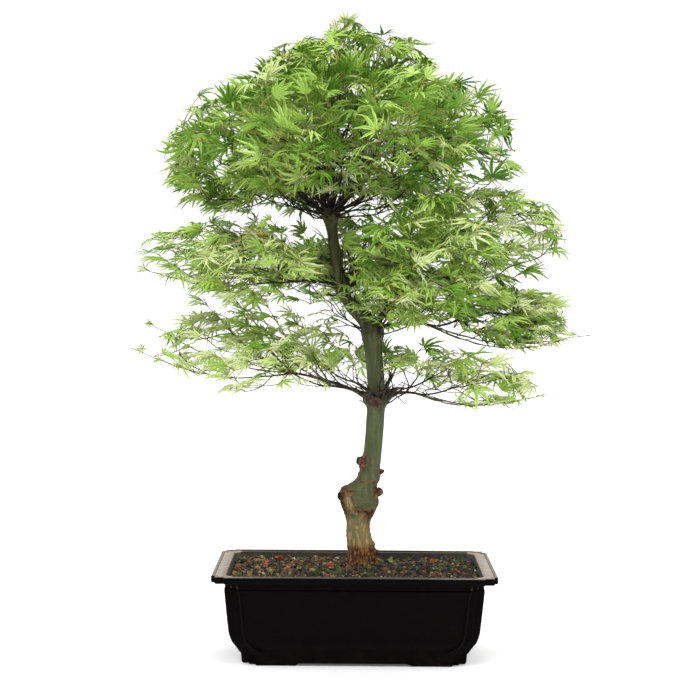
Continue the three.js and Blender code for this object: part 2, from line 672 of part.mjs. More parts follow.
/** One mass: twigs branching from its stem, with leaves on their joints, in a single skin. */
function massSolid(mass, curve, limbs, seed) {
  const random = seeded(seed);
  const inSpace = spaceOf(mass);
  const aim = curve.getTangent(1);
  const foot = curve.getPoint(1).addScaledVector(aim, GAP);
  const obstacles = [...limbs];
  const joints = growTwigs(mass, foot, aim, inSpace, obstacles, random);
  const blades = [];
  joints.slice(2).forEach((joint) => growLeaves(joint, inSpace, obstacles, blades, random));
  const bare = (joint) => !joint.leaves.length && !joints.some((other) => other.parent === joint);
  for (let i = joints.length - 1; i > 1; i--) if (bare(joints[i])) joints.splice(i, 1);

  const skin = [];
  const rings = new Map(joints.map((joint) => [joint, joint.leaves.map((leaf) => leaf.ring)]));
  for (const joint of joints.slice(1)) {
    const { at, parent, walk, leaves } = joint;
    const along = at.clone().sub(parent.at).normalize();
    const isStem = parent === joints[0];
    const low = parent.at.clone().addScaledVector(along, isStem ? 0 : JOINT_REACH);
    const foot = ringAt(low, along, isStem ? LIMB_TIP_RADIUS : twigRadius(parent.walk), 3);
    const head = ringAt(at.clone().addScaledVector(along, -JOINT_REACH), along, twigRadius(walk), 3);
    skin.push(...tube(foot, head));
    for (const { ring, mouth, blade } of leaves) skin.push(...tube(ring, mouth), ...blade);
    rings.get(joint).push(head);
    rings.get(parent).push(foot);
    if (isStem) skin.push(...foot.toReversed());
  }
  for (const joint of joints.slice(1)) skin.push(...jointSkin(rings.get(joint)));
  return { solid: solidFrom(skin), foot };
}

// ---------------------------------------------------------------- the object

const pot = new THREE.Group();
pot.add(piece("pot", potSolid(), MATERIALS.pot), piece("soil", soilSolid(), MATERIALS.soil));

const tree = new THREE.Group();
tree.position.set(TREE_OFFSET, 0, SOIL_TOP + GAP);
tree.add(piece("trunk", trunkSolid(), MATERIALS.bark));

const trunkGrown = trunkSolid(GAP);
const curves = Object.fromEntries(Object.entries(MASSES).map(([name, mass]) => [name, limbCurve(mass)]));

/** A curve as straight stretches from its start to a little short of its end. */
function stretchesOf(curve, radiusAt, parts) {
  const end = 0.99;
  return Array.from({ length: parts }, (_, k) => {
    const [low, high] = [k, k + 1].map((n) => (end * n) / parts);
    const [from, to] = [curve.getPoint(low), curve.getPoint(high)];
    return { from, to, radius: radiusAt((from.z + to.z) / 2), room: RIB_ROOM };
  });
}

// What foliage keeps clear of.
const limbStretches = [
  ...stretchesOf(trunkCourse, trunkRadius, 24),
  ...Object.values(curves).flatMap((curve) => stretchesOf(curve, () => LIMB_RADIUS, 4)),
];

Object.entries(MASSES).forEach(([name, mass], i) => {
  const curve = curves[name];
  tree.add(piece(`limb_${name}`, limbSolid(curve, trunkGrown), MATERIALS.limb, curve.getPoint(0)));
  const { solid, foot } = massSolid(mass, curve, limbStretches, i + 1);
  tree.add(piece(`leaves_${name}`, solid, MATERIALS.leaf, foot));
});

const maple = new THREE.Group();
maple.add(pot, tree);

export default maple;
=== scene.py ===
import json
from collections import namedtuple
from math import cos, exp, pi, radians, sin

import bmesh
import bpy
import numpy as np
from mathutils import Matrix, Vector, noise
from mathutils.bvhtree import BVHTree

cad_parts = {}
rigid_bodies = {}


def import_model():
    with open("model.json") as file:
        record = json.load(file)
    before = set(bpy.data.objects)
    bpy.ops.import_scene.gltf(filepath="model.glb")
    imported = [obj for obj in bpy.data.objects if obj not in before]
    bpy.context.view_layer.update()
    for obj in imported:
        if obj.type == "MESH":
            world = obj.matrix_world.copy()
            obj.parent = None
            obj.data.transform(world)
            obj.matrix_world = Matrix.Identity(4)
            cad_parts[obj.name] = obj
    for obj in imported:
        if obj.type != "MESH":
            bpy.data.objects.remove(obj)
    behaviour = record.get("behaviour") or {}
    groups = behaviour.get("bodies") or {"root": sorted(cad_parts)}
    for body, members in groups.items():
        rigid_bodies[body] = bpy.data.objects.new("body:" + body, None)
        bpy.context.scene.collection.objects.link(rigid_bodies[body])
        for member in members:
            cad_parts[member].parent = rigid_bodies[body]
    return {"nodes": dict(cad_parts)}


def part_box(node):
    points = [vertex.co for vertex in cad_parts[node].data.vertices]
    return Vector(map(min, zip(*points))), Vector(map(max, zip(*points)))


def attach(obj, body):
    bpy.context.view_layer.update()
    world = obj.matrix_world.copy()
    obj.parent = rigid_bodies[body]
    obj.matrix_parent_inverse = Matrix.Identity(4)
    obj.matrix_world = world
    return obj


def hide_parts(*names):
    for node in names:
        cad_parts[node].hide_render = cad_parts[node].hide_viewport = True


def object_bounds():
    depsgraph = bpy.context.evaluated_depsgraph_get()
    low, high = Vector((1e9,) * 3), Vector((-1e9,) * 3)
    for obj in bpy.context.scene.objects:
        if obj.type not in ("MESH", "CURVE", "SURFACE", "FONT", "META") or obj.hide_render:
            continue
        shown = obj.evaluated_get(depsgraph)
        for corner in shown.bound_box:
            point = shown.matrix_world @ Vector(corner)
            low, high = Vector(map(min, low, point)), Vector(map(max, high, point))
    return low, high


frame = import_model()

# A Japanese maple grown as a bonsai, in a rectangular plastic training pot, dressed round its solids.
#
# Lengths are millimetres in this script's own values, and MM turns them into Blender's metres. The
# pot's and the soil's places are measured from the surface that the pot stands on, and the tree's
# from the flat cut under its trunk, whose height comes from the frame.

cad_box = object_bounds()
scene = bpy.context.scene
MM = 0.001
UP = np.array([0.0, 0.0, 1.0])
WHITE = (1, 1, 1, 1)


# ---------------------------------------------------------------- shader nodes


def linear(code):
    """A colour in the shader's own linear values, from its usual code of six hex digits."""
    shares = [int(code[i : i + 2], 16) / 255 for i in (0, 2, 4)]
    bright = [s / 12.92 if s <= 0.04045 else ((s + 0.055) / 1.055) ** 2.4 for s in shares]
    return (*bright, 1)


def feed(tree, node, inputs):
    """Gives a node's inputs their values, or links them to the outputs that feed them."""
    for name, value in inputs.items():
        if isinstance(value, bpy.types.NodeSocket):
            tree.links.new(value, node.inputs[name])
        else:
            node.inputs[name].default_value = value


def add_node(tree, kind, inputs=None, **settings):
    node = tree.nodes.new(f"ShaderNode{kind}")
    for name, value in settings.items():
        setattr(node, name, value)
    feed(tree, node, inputs or {})
    return node


def smooth_range(tree, value, low, high, to_low=0.0, to_high=1.0):
    limits = {"From Min": low, "From Max": high, "To Min": to_low, "To Max": to_high}
    node = add_node(tree, "MapRange", {"Value": value, **limits}, interpolation_type="SMOOTHSTEP")
    return node.outputs["Result"]


def new_effect(name, given, wanted):
    """An empty node group, with the sockets of what it is given and its output node."""
    tree = bpy.data.node_groups.new(name, "ShaderNodeTree")
    for way, sockets in (("INPUT", given), ("OUTPUT", wanted)):
        for socket in sockets:
            kind = "NodeSocketVector" if socket == "Stretch" else "NodeSocketFloat"
            tree.interface.new_socket(name=socket, in_out=way, socket_type=kind)
    return tree, tree.nodes.new("NodeGroupInput").outputs, tree.nodes.new("NodeGroupOutput")


def make_patches():
    """An effect: soft patches from noise, as a mask and as the noise itself."""
    tree, given, wanted = new_effect("patches", ("Stretch", "Scale", "Low", "High"), ("Mask", "Height"))
    place = add_node(tree, "TexCoord").outputs["Object"]
    spot = add_node(tree, "VectorMath", {0: place, 1: given["Stretch"]}, operation="MULTIPLY").outputs[0]
    fractal = {"Vector": spot, "Scale": given["Scale"], "Detail": 6, "Roughness": 0.62}
    grain = add_node(tree, "TexNoise", fractal).outputs["Fac"]
    mask = smooth_range(tree, grain, given["Low"], given["High"])
    feed(tree, wanted, {"Mask": mask, "Height": grain})
    return tree


def make_edge_wear_and_highlight():
    """An effect: a mask of the sharp outer edges, broken up by noise, for scuffs and a painted highlight.
    """
    tree, given, wanted = new_effect("edge_wear_and_highlight", ("Low", "High", "Scale"), ("Mask",))
    sharp = add_node(tree, "NewGeometry").outputs["Pointiness"]
    edge = add_node(tree, "MapRange", {"Value": sharp, "From Min": given["Low"], "From Max": given["High"]})
    place = add_node(tree, "TexCoord").outputs["Object"]
    grain = add_node(tree, "TexNoise", {"Vector": place, "Scale": given["Scale"]})
    both = {0: edge.outputs["Result"], 1: grain.outputs["Fac"]}
    broken = add_node(tree, "Math", both, operation="MULTIPLY")
    feed(tree, wanted, {"Mask": broken.outputs["Value"]})
    return tree


PATCHES = make_patches()
EDGE_WEAR_AND_HIGHLIGHT = make_edge_wear_and_highlight()


class Finish:
    """A material under way: its shader, and the ways of joining nodes that this script uses."""

    def __init__(self, name, roughness, **constants):
        self.material = bpy.data.materials.new(name)
        self.material.use_nodes = True
        self.tree = self.material.node_tree
        self.shader = self.tree.nodes["Principled BSDF"]
        self.shader.inputs["Roughness"].default_value = roughness
        for socket, value in constants.items():
            self.shader.inputs[socket.replace("_", " ")].default_value = value

    def effect(self, group, output="Mask", **values):
        return add_node(self.tree, "Group", values, node_tree=group).outputs[output]

    def patches(self, scale, low, high, stretch=(1, 1, 1)):
        return self.effect(PATCHES, Stretch=stretch, Scale=scale, Low=low, High=high)

    def grain(self, scale, stretch=(1, 1, 1)):
        return self.effect(PATCHES, "Height", Stretch=stretch, Scale=scale, Low=0, High=1)

    def attribute(self, name):
        return add_node(self.tree, "Attribute", attribute_name=name).outputs["Fac"]

    def ranged(self, value, low, high, to_low=0.0, to_high=1.0):
        return smooth_range(self.tree, value, low, high, to_low, to_high)

    def times(self, one, other):
        return add_node(self.tree, "Math", {0: one, 1: other}, operation="MULTIPLY").outputs["Value"]

    def mix(self, mask, first, second):
        """The first colour, and the second where the mask is 1."""
        first, second = (linear(c) if isinstance(c, str) else c for c in (first, second))
        inputs = {"Factor": mask, 6: first, 7: second}
        return add_node(self.tree, "Mix", inputs, data_type="RGBA").outputs[2]

    def height(self):
        """The height of the material along the object's upright axis, in metres."""
        place = add_node(self.tree, "TexCoord").outputs["Object"]
        return add_node(self.tree, "SeparateXYZ", {0: place}).outputs["Z"]

    def bump(self, height, distance, strength=1.0, over=None):
        """Fine relief, on the plain surface or over other relief."""
        inputs = {"Distance": distance * MM, "Strength": strength, "Height": height}
        if over:
            inputs["Normal"] = over
        normal = add_node(self.tree, "Bump", inputs).outputs["Normal"]
        feed(self.tree, self.shader, {"Normal": normal})
        return normal

    def colour(self, value):
        feed(self.tree, self.shader, {"Base Color": value})

    def roughness(self, value):
        feed(self.tree, self.shader, {"Roughness": value})


# ---------------------------------------------------------------- camera, floor and light

CAMERA = {"at": (-6.6, -2200, 427), "tilt": 2.358, "roll": 0.4, "lens": 102.7, "sensor": 36}
FLOOR = {"size": 40000, "below": 0.3}
SKY_STRENGTH = 1.12
SKY_RISE = (-0.1, 0.8)  # from the level to high overhead
SKY_LIGHT = (0.25, 1.35)  # and how bright it is there
LIT_POINT = (0, 0, 350)
SOFTBOXES = {
    "key": {"at": (-1300, -2300, 2600), "size": 1500, "watts": 46},
    "fill": {"at": (2000, -1400, 1500), "size": 1600, "watts": 16},
    "back": {"at": (600, 2400, 2200), "size": 1600, "watts": 26},
}


def add_object(name, data):
    made = bpy.data.objects.new(name, data)
    scene.collection.objects.link(made)
    return made


def mesh_from(bm, name):
    mesh = bpy.data.meshes.new(name)
    bm.to_mesh(mesh)
    bm.free()
    return mesh


def make_camera():
    lens = bpy.data.cameras.new("camera")
    lens.lens = CAMERA["lens"]
    lens.sensor_width = CAMERA["sensor"]
    lens.clip_end = 100
    camera = add_object("camera", lens)
    tilt = Matrix.Rotation(radians(90 - CAMERA["tilt"]), 4, "X")
    roll = Matrix.Rotation(radians(CAMERA["roll"]), 4, "Z")
    camera.matrix_world = Matrix.Translation(Vector(CAMERA["at"]) * MM) @ tilt @ roll
    scene.camera = camera


def make_light():
    """A white surround, brighter overhead than in front, and three softboxes."""
    world = bpy.data.worlds.new("white")
    world.use_nodes = True
    tree = world.node_tree
    way = add_node(tree, "TexCoord").outputs["Generated"]
    height = add_node(tree, "SeparateXYZ", {0: way}).outputs["Z"]
    shade = smooth_range(tree, height, *SKY_RISE, *SKY_LIGHT)
    seen = add_node(tree, "LightPath").outputs["Is Camera Ray"]
    tone = add_node(tree, "Mix", {"Factor": seen, 6: shade, 7: WHITE}, data_type="RGBA").outputs[2]
    feed(tree, tree.nodes["Background"], {"Color": tone, "Strength": SKY_STRENGTH})
    scene.world = world
    scene.view_settings.view_transform = "Standard"
    middle = Vector(LIT_POINT) * MM
    for name, box in SOFTBOXES.items():
        lamp = bpy.data.lights.new(name, "AREA")
        lamp.size = box["size"] * MM
        lamp.energy = box["watts"]
        place = Vector(box["at"]) * MM
        turn = (middle - place).to_track_quat("-Z", "Y").to_matrix().to_4x4()
        add_object(name, lamp).matrix_world = Matrix.Translation(place) @ turn


def make_floor(finish):
    bm = bmesh.new()
    bmesh.ops.create_grid(bm, x_segments=1, y_segments=1, size=FLOOR["size"] * MM / 2)
    bmesh.ops.translate(bm, vec=(0, 0, -FLOOR["below"] * MM), verts=bm.verts)
    mesh = mesh_from(bm, "floor")
    mesh.materials.append(finish)
    add_object("floor", mesh)


# ---------------------------------------------------------------- finishes

LEADER_SHADE = (0.31, 0.44)  # the heights between which the bark darkens to the leader's olive, painted shade under the crown, in metres
FEET_HIGH = 0.03  # how high up the pot its feet are scuffed, in metres


def floor_finish():
    finish = Finish("white_paper", 0.9, Emission_Color=WHITE, Emission_Strength=0.1)
    finish.colour(finish.mix(finish.patches(3, 0.3, 0.7), "f4f4f4", "f8f8f8"))
    return finish.material


def pot_finish():
    """Near-black brown plastic, satin, with sharp edges lighter for scuffs and a painted highlight, and
    dust on the rim and inside it.
    """
    finish = Finish("pot_plastic", 0.42, Specular_IOR_Level=0.035)
    body = finish.mix(finish.times(finish.patches(90, 0.5, 0.8), 0.5), "040202", "0f0a09")
    low = finish.ranged(finish.height(), 0.0, FEET_HIGH, 1.0, 0.0)
    body = finish.mix(finish.times(low, finish.patches(60, 0.4, 0.75)), body, "130e0c")
    # Lighter sharp edges: scuffs, and a painted highlight along the edges.
    body = finish.mix(finish.effect(EDGE_WEAR_AND_HIGHLIGHT, Low=0.53, High=0.62, Scale=80), body, "1a1412")
    specks = finish.times(finish.patches(700, 0.68, 0.74), 0.4)
    body = finish.mix(specks, body, "4a423c")
    dust = finish.mix(finish.patches(160, 0.4, 0.7), "a09488", "bdb2a6")
    worn = finish.ranged(finish.grain(260), 0.36, 0.56, 0.84, 1.0)
    finish.colour(finish.mix(finish.times(finish.attribute("dust"), worn), body, dust))
    finish.roughness(finish.ranged(finish.grain(220), 0.3, 0.7, 0.33, 0.52))
    finish.bump(finish.grain(900), 0.12, 0.6)
    return finish.material


def soil_finish(name, dark, light, rough=0.95):
    finish = Finish(name, rough)
    colour = finish.mix(finish.patches(260, 0.38, 0.66), dark, light)
    finish.colour(finish.mix(finish.ranged(finish.attribute("tint"), 0, 1, 0, 0.6), colour, dark))
    finish.bump(finish.grain(1500), 0.5)
    return finish.material


def bark_finish():
    """Smooth grey-green bark with painted shade in dark olive up the leader and round the whorls, over a
    tan rootstock, with dark limbs and pale scars.
    """
    finish = Finish("maple_bark", 0.62, Specular_IOR_Level=0.2)
    streaks = finish.patches(60, 0.42, 0.64, stretch=(3, 3, 0.35))
    green = finish.mix(streaks, "444a2e", "565b3c")
    green = finish.mix(finish.patches(22, 0.45, 0.7), green, "3b4128")
    green = finish.mix(finish.patches(420, 0.62, 0.7, stretch=(1, 1, 1.6)), green, "2c281c")
    bands = finish.patches(130, 0.6, 0.68, stretch=(0.25, 0.25, 2.4))
    green = finish.mix(finish.times(bands, 0.45), green, "393b29")
    # Up the trunk under the crown the bark takes the leader's dark olive: painted shade.
    leader = finish.mix(streaks, "434328", "6d6c44")
    green = finish.mix(finish.ranged(finish.height(), *LEADER_SHADE, 0.0, 0.8), green, leader)
    cracks = finish.patches(150, 0.46, 0.6, stretch=(2.2, 2.2, 0.5))
    rough = finish.mix(cracks, "7b6846", "a58e65")
    rough = finish.mix(finish.patches(70, 0.43, 0.6), rough, "5f6742")
    dark = finish.mix(finish.patches(190, 0.46, 0.58, stretch=(2, 2, 0.7)), "3a2212", "7f5530")
    rough = finish.mix(finish.attribute("foot"), rough, dark)
    colour = finish.mix(finish.attribute("rough"), green, rough)
    scar = finish.mix(finish.patches(260, 0.42, 0.6), "352014", "6f4e34")
    colour = finish.mix(finish.attribute("scar"), colour, scar)
    # Dark limbs; round the whorls the same colour is painted shade.
    limb = finish.mix(finish.patches(160, 0.4, 0.66), "1d1812", "40372a")
    colour = finish.mix(finish.attribute("limb"), colour, limb)
    finish.colour(finish.mix(finish.attribute("dead"), colour, "12100d"))
    finish.roughness(finish.ranged(finish.attribute("rough"), 0, 1, 0.58, 0.88))
    fine = finish.bump(finish.grain(700, (1, 1, 0.6)), 0.35, 0.5)
    finish.bump(finish.grain(170, (2, 2, 0.5)), 1.2, 0.45, over=fine)
    return finish.material


def twig_finish():
    finish = Finish("twig_bark", 0.6, Specular_IOR_Level=0.3)
    old = finish.mix(finish.patches(200, 0.4, 0.65), "1a1611", "3c3326")
    young = finish.mix(finish.patches(160, 0.4, 0.65), "5d6632", "5a432c")
    finish.colour(finish.mix(finish.attribute("tint"), young, old))
    finish.bump(finish.grain(900), 0.2)
    return finish.material


def stalk_finish():
    finish = Finish("leaf_stalk", 0.5, Specular_IOR_Level=0.25)
    finish.colour(finish.mix(finish.attribute("tint"), "8a9c40", "a08a4c"))
    finish.bump(finish.grain(700), 0.1)
    return finish.material


def leaf_finish(name, blade, pale, rib, mottle):
    """A leaf's blade, paler by leaf and at its edges, with pale mottling and darker midribs."""
    finish = Finish(f"leaf_{name}", 0.5, Specular_IOR_Level=0.22)
    colour = finish.mix(finish.attribute("tint"), blade, pale)
    colour = finish.mix(finish.times(finish.patches(55, 0.45, 0.7), 0.4), colour, blade)
    colour = finish.mix(finish.times(finish.patches(420, 0.5, 0.62), 0.45), colour, mottle)
    colour = finish.mix(finish.ranged(finish.attribute("rib"), 0.0, 0.4, 0.4, 0.0), colour, pale)
    mask = finish.ranged(finish.attribute("rib"), 0.5, 0.95, 0.0, 0.8)
    finish.colour(finish.mix(mask, colour, rib))
    finish.bump(finish.attribute("rib"), 0.4, 0.35)
    return finish.material


# ---------------------------------------------------------------- meshes


def finished_piece(mesh, finish, smooth=True, replaced=()):
    """The piece of a finished mesh, riding on the object and standing for the nodes it replaces."""
    mesh.materials.append(finish)
    mesh.polygons.foreach_set("use_smooth", [smooth] * len(mesh.polygons))
    made = add_object(mesh.name, mesh)
    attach(made, "root")
    if replaced:
        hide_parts(*replaced)
    return made


def set_points(mesh, points):
    mesh.vertices.foreach_set("co", (points.reshape(-1) * MM).astype(np.float32))


def set_shades(mesh, **shades):
    """Values at a mesh's points that its material reads by name."""
    for name, values in shades.items():
        layer = mesh.attributes.new(name, "FLOAT", "POINT")
        layer.data.foreach_set("value", values.reshape(-1).astype(np.float32))


def joined_mesh(name, points, faces, **shades):
    """A mesh of many like shapes: points as rows of shapes, faces as the corners of one shape."""
    count, size = points.shape[:2]
    starts = np.cumsum([0] + [len(face) for face in faces])
    loops = (np.concatenate(faces)[None, :] + size * np.arange(count)[:, None]).ravel()
    begins = (starts[:-1][None, :] + starts[-1] * np.arange(count)[:, None]).ravel()
    mesh = bpy.data.meshes.new(name)
    mesh.vertices.add(count * size)
    set_points(mesh, points)
    mesh.loops.add(len(loops))
    mesh.loops.foreach_set("vertex_index", loops.astype(np.int32))
    mesh.polygons.add(len(begins))
    mesh.polygons.foreach_set("loop_start", begins.astype(np.int32))
    set_shades(mesh, **shades)
    mesh.update(calc_edges=True)
    mesh.validate()
    return mesh


def unit(v):
    return v / np.maximum(np.linalg.norm(v, axis=-1, keepdims=True), 1e-9)


def tubes(name, paths, radii, sides, tint):
    """Many tapered tubes with closed ends: paths as rows of points, with a radius at each point."""
    count, length = paths.shape[:2]
    along = unit(np.gradient(paths, axis=1))
    level = np.where(np.abs(along[:, :1, 2:]) > 0.9, [0.0, 1.0, 0.0], UP)
    across = unit(np.cross(level, along))
    over = np.cross(along, across)
    turns = 2 * pi * np.arange(sides) / sides
    ring = np.cos(turns)[:, None] * across[:, :, None, :] + np.sin(turns)[:, None] * over[:, :, None, :]
    points = paths[:, :, None, :] + radii[:, :, None, None] * ring
    faces = [
        [k * sides + i, k * sides + (i + 1) % sides, (k + 1) * sides + (i + 1) % sides, (k + 1) * sides + i]
        for k in range(length - 1)
        for i in range(sides)
    ]
    faces += [list(range(sides))[::-1], [(length - 1) * sides + i for i in range(sides)]]
    shade = np.repeat(tint[:, None], length * sides, axis=1)
    return joined_mesh(name, points.reshape(count, length * sides, 3), faces, tint=shade)


# ---------------------------------------------------------------- the pot

POT_LENGTH = 305
POT_WIDTH = 212
POT_HEIGHT = 100
RIM_FLANGE = 15
RIM_LOW = POT_HEIGHT - 8
FOOT_HEIGHT = 11
FLOOR_LOW = 5
FLOOR_HIGH = 8.5
UNDER_INSET = 36
BODY_CORNER = {"run": 15, "step": 7.5}
RIM_CORNER = {"run": 14, "step": 4}
RIM_BEAD = {"width": 3.4, "height": 1.6}
PANEL = {"sink": 1.6, "border": 0.6, "slope": 1.8, "bead": 0.8, "bead_width": 2.4}
ARCH = {"length": 126, "width": 64, "height": 4.5, "slope": 7}
FLANGE_TOP = POT_HEIGHT - RIM_BEAD["height"]
ROUND_STEPS = 14  # in a round corner, to have as many points as a stepped one with its panel's edges
LIP_CORNER = 11
UNDER_CORNER = 26
# The dust on each part of the rim and inside it, at the pot's ends, along its front and along its back.
DUST = {
    "none": (0, 0, 0),
    "bead": (0.55, 0.16, 0.1),
    "flange": (0.95, 0.2, 0.14),
    "lip": (0.7, 0.2, 0.1),
    "inside": (0.2, 0.1, 0.12),
}
DUSTY_END = POT_LENGTH / 2 - RIM_FLANGE - 7
BOSS_RADIUS = 12
DRAIN = {"radius": 6, "x": 62, "y": 30, "sides": 24}
SOIL_TOP = 95
SOIL_EDGE = SOIL_TOP - 3.5


def four_quarters(quarter, z):
    """All four quarters of an outline, from its first, whose points are x, y and a rise over z."""
    turned = quarter[::-1]
    outline = list(quarter)
    outline += [(-x, y, rise) for x, y, rise in turned]
    outline += [(-x, -y, rise) for x, y, rise in quarter]
    outline += [(x, -y, rise) for x, y, rise in turned]
    return [Vector((x, y, z + rise)) * MM for x, y, rise in outline]


def stepped_outline(z, inset, corner, sink=0.0, close_in=0.0, arch=0.0):
    """A rectangle's outline whose corners step in twice, with a beaded panel sunk in each side.

    The panel's edges stand further from the corners by close_in, and the middle of each side rises
    by arch, between the feet.
    """
    hx, hy = POT_LENGTH / 2 - inset, POT_WIDTH / 2 - inset
    run, step = corner["run"], corner["step"]
    edge = run + PANEL["border"] + close_in
    inner = edge + PANEL["bead_width"] + PANEL["slope"]
    bead = PANEL["bead"] if sink else 0.0
    half = [PANEL["bead_width"] * share for share in (0.3, 0.7, 1.0)]
    side = [(edge, 0.0), (edge + half[0], bead), (edge + half[1], bead)]
    side += [(edge + half[2], 0.0), (inner, -sink)]
    gap_x, gap_y = ARCH["length"] / 2, ARCH["width"] / 2
    quarter = [(hx - sink, gap_y - ARCH["slope"], arch), (hx - sink, gap_y, 0)]
    quarter += [(hx + out, hy - inward, 0) for inward, out in reversed(side)]
    quarter += [(hx, hy - run, 0), (hx - step, hy - run, 0), (hx - step, hy - step, 0)]
    quarter += [(hx - run, hy - step, 0), (hx - run, hy, 0)]
    quarter += [(hx - inward, hy + out, 0) for inward, out in side]
    quarter += [(gap_x, hy - sink, 0), (gap_x - ARCH["slope"], hy - sink, arch)]
    return four_quarters(quarter, z)


def round_outline(z, inset, radius, arch=0.0):
    """A rectangle's outline with round corners, with as many points as the stepped one."""
    hx, hy = POT_LENGTH / 2 - inset, POT_WIDTH / 2 - inset
    gap_x, gap_y = ARCH["length"] / 2, ARCH["width"] / 2
    quarter = [(hx, gap_y - ARCH["slope"], arch), (hx, gap_y, 0)]
    for k in range(ROUND_STEPS + 1):
        turn = pi / 2 * k / ROUND_STEPS
        quarter.append((hx - radius + radius * cos(turn), hy - radius + radius * sin(turn), 0))
    quarter += [(gap_x, hy, 0), (gap_x - ARCH["slope"], hy, arch)]
    return four_quarters(quarter, z)


def pot_levels():
    """The outlines of the pot's skin and their dust, from under its floor, out and up, and down inside.

    A stepped level is its height, its inset, and what differs from 0 of the panel's sink, how far its
    edges close in, and the arch. A round one is its height, its inset, its corners' radius and the arch.
    """
    sink, bead, arch = PANEL["sink"], RIM_BEAD["width"], ARCH["height"]
    under = [
        (FLOOR_LOW, UNDER_INSET, UNDER_CORNER),
        (0.6, UNDER_INSET, UNDER_CORNER, arch - 0.6),
        (0, UNDER_INSET - 0.6, UNDER_CORNER, arch),
    ]
    feet = [(0, 33, 0, 0, arch), (0.8, 31.9, 0, 0, arch), (2.6, 31.2), (5.2, 30.9), (FOOT_HEIGHT, 30.5)]
    swell = [
        (FOOT_HEIGHT + 1.2, 29.4, 0, 14),
        (14.5, 28, 0.4, 10),
        (16.2, 26.9, sink * 0.7, 6.5),
        (18, 25.9, sink, 4.2),
        (21, 23.9, sink, 1.8),
        (25, 21.5, sink, 0.4),
    ]
    wall = [
        (30, 19.8, sink),
        (36, 18.2, sink),
        (58, 15.9, sink),
        (79.5, 13.9, sink),
        (81.2, 13.8, sink * 0.6),
    ]
    neck = [(82.6, 13.2), (83.6, 13.1), (84.4, 14.2), (87.4, 13.8), (88.2, 12.9), (RIM_LOW - 0.6, 12.5)]
    rim = [(RIM_LOW, 1.4), (RIM_LOW + 0.5, 0.5), (RIM_LOW + 1.6, 0), (POT_HEIGHT - 1.2, 0)]
    beading = [(POT_HEIGHT - 0.3, 0.3), (POT_HEIGHT, 1.1), (POT_HEIGHT, bead - 1.2)]
    beading += [(POT_HEIGHT - 0.5, bead - 0.4), (FLANGE_TOP, bead)]
    flange = [(FLANGE_TOP, bead + 0.6)]
    lip = [
        (FLANGE_TOP, RIM_FLANGE - 1.6, LIP_CORNER),
        (FLANGE_TOP + 0.5, RIM_FLANGE - 0.9, LIP_CORNER),
        (FLANGE_TOP + 0.4, RIM_FLANGE - 0.2, LIP_CORNER),
    ]
    inside = [(FLANGE_TOP - 1, RIM_FLANGE + 0.2, LIP_CORNER), (SOIL_TOP, 16, LIP_CORNER), (90.5, 17.4, 20)]
    inside += [(37, 21.8, 24), (26, 25.6, 26), (18, 30.5, 26), (FLOOR_HIGH, 35, 26)]

    rings = [(round_outline(*level), "none") for level in under]
    body = feet + swell + wall + neck + [(RIM_LOW, 11.6)]
    for corner, levels, dust in (
        (BODY_CORNER, body, "none"),
        (RIM_CORNER, rim, "none"),
        (RIM_CORNER, beading, "bead"),
        (RIM_CORNER, flange, "flange"),
    ):
        rings += [(stepped_outline(z, inset, corner, *panel), dust) for z, inset, *panel in levels]
    rings += [(round_outline(*level), "lip") for level in lip]
    return rings + [(round_outline(*level), "inside") for level in inside]


def ring_edges(bm, ring):
    return [bm.edges.get((ring[i - 1], ring[i])) for i in range(len(ring))]


def drain_ring(bm, x, y, z):
    """The edge of a drain hole, on the floor's upper side or on its underside."""
    ring = bmesh.ops.create_circle(bm, cap_ends=False, segments=DRAIN["sides"], radius=DRAIN["radius"] * MM)
    bmesh.ops.translate(bm, vec=Vector((x, y, z)) * MM, verts=ring["verts"])
    return list({edge for vert in ring["verts"] for edge in vert.link_edges})


def make_pot(finish):
    bm = bmesh.new()
    dust = bm.verts.layers.float.new("dust")
    rings = []
    for points, kind in pot_levels():
        rings.append([bm.verts.new(point) for point in points])
        for vert in rings[-1]:
            side = 0 if abs(vert.co.x) > DUSTY_END * MM else 1 if vert.co.y < 0 else 2
            vert[dust] = DUST[kind][side]
    for low, high in zip(rings, rings[1:]):
        for i in range(len(low)):
            bm.faces.new((low[i - 1], low[i], high[i], high[i - 1]))
    under, floor = ring_edges(bm, rings[0]), ring_edges(bm, rings[-1])
    for x in (-DRAIN["x"], DRAIN["x"]):
        for y in (-DRAIN["y"], DRAIN["y"]):
            hole = [drain_ring(bm, x, y, z) for z in (FLOOR_LOW, FLOOR_HIGH)]
            bmesh.ops.bridge_loops(bm, edges=hole[0] + hole[1])
            under += hole[0]
            floor += hole[1]
    for edges in (under, floor):
        bmesh.ops.triangle_fill(bm, use_beauty=True, edges=edges, normal=(0, 0, 1))
    lowest, radius = FLOOR_LOW * MM, BOSS_RADIUS * MM
    radii = {"radius1": radius, "radius2": radius}
    boss = bmesh.ops.create_cone(bm, cap_ends=True, segments=32, depth=lowest, **radii)
    bmesh.ops.translate(bm, vec=(0, 0, lowest / 2), verts=boss["verts"])
    bmesh.ops.recalc_face_normals(bm, faces=bm.faces)
    pot = finished_piece(mesh_from(bm, "training_pot"), finish, replaced=["pot"])
    bevel = pot.modifiers.new("soft_edges", "BEVEL")
    bevel.width = 0.5 * MM
    bevel.segments = 2
    bevel.limit_method = "ANGLE"
    bevel.angle_limit = radians(35)
    bevel.harden_normals = True


# ---------------------------------------------------------------- the growth rule of the source


def seeded(seed):
    """A number from 0 to 1 at each call, the same row of them for the same seed."""
    state = seed * 7919 + 104729

    def draw():
        nonlocal state
        state = (state * 1664525 + 1013904223) % 4294967296
        return state / 4294967296

    return draw


def smoothstep(x, low, high):
    share = np.clip((x - low) / (high - low), 0, 1)
    return share * share * (3 - 2 * share)


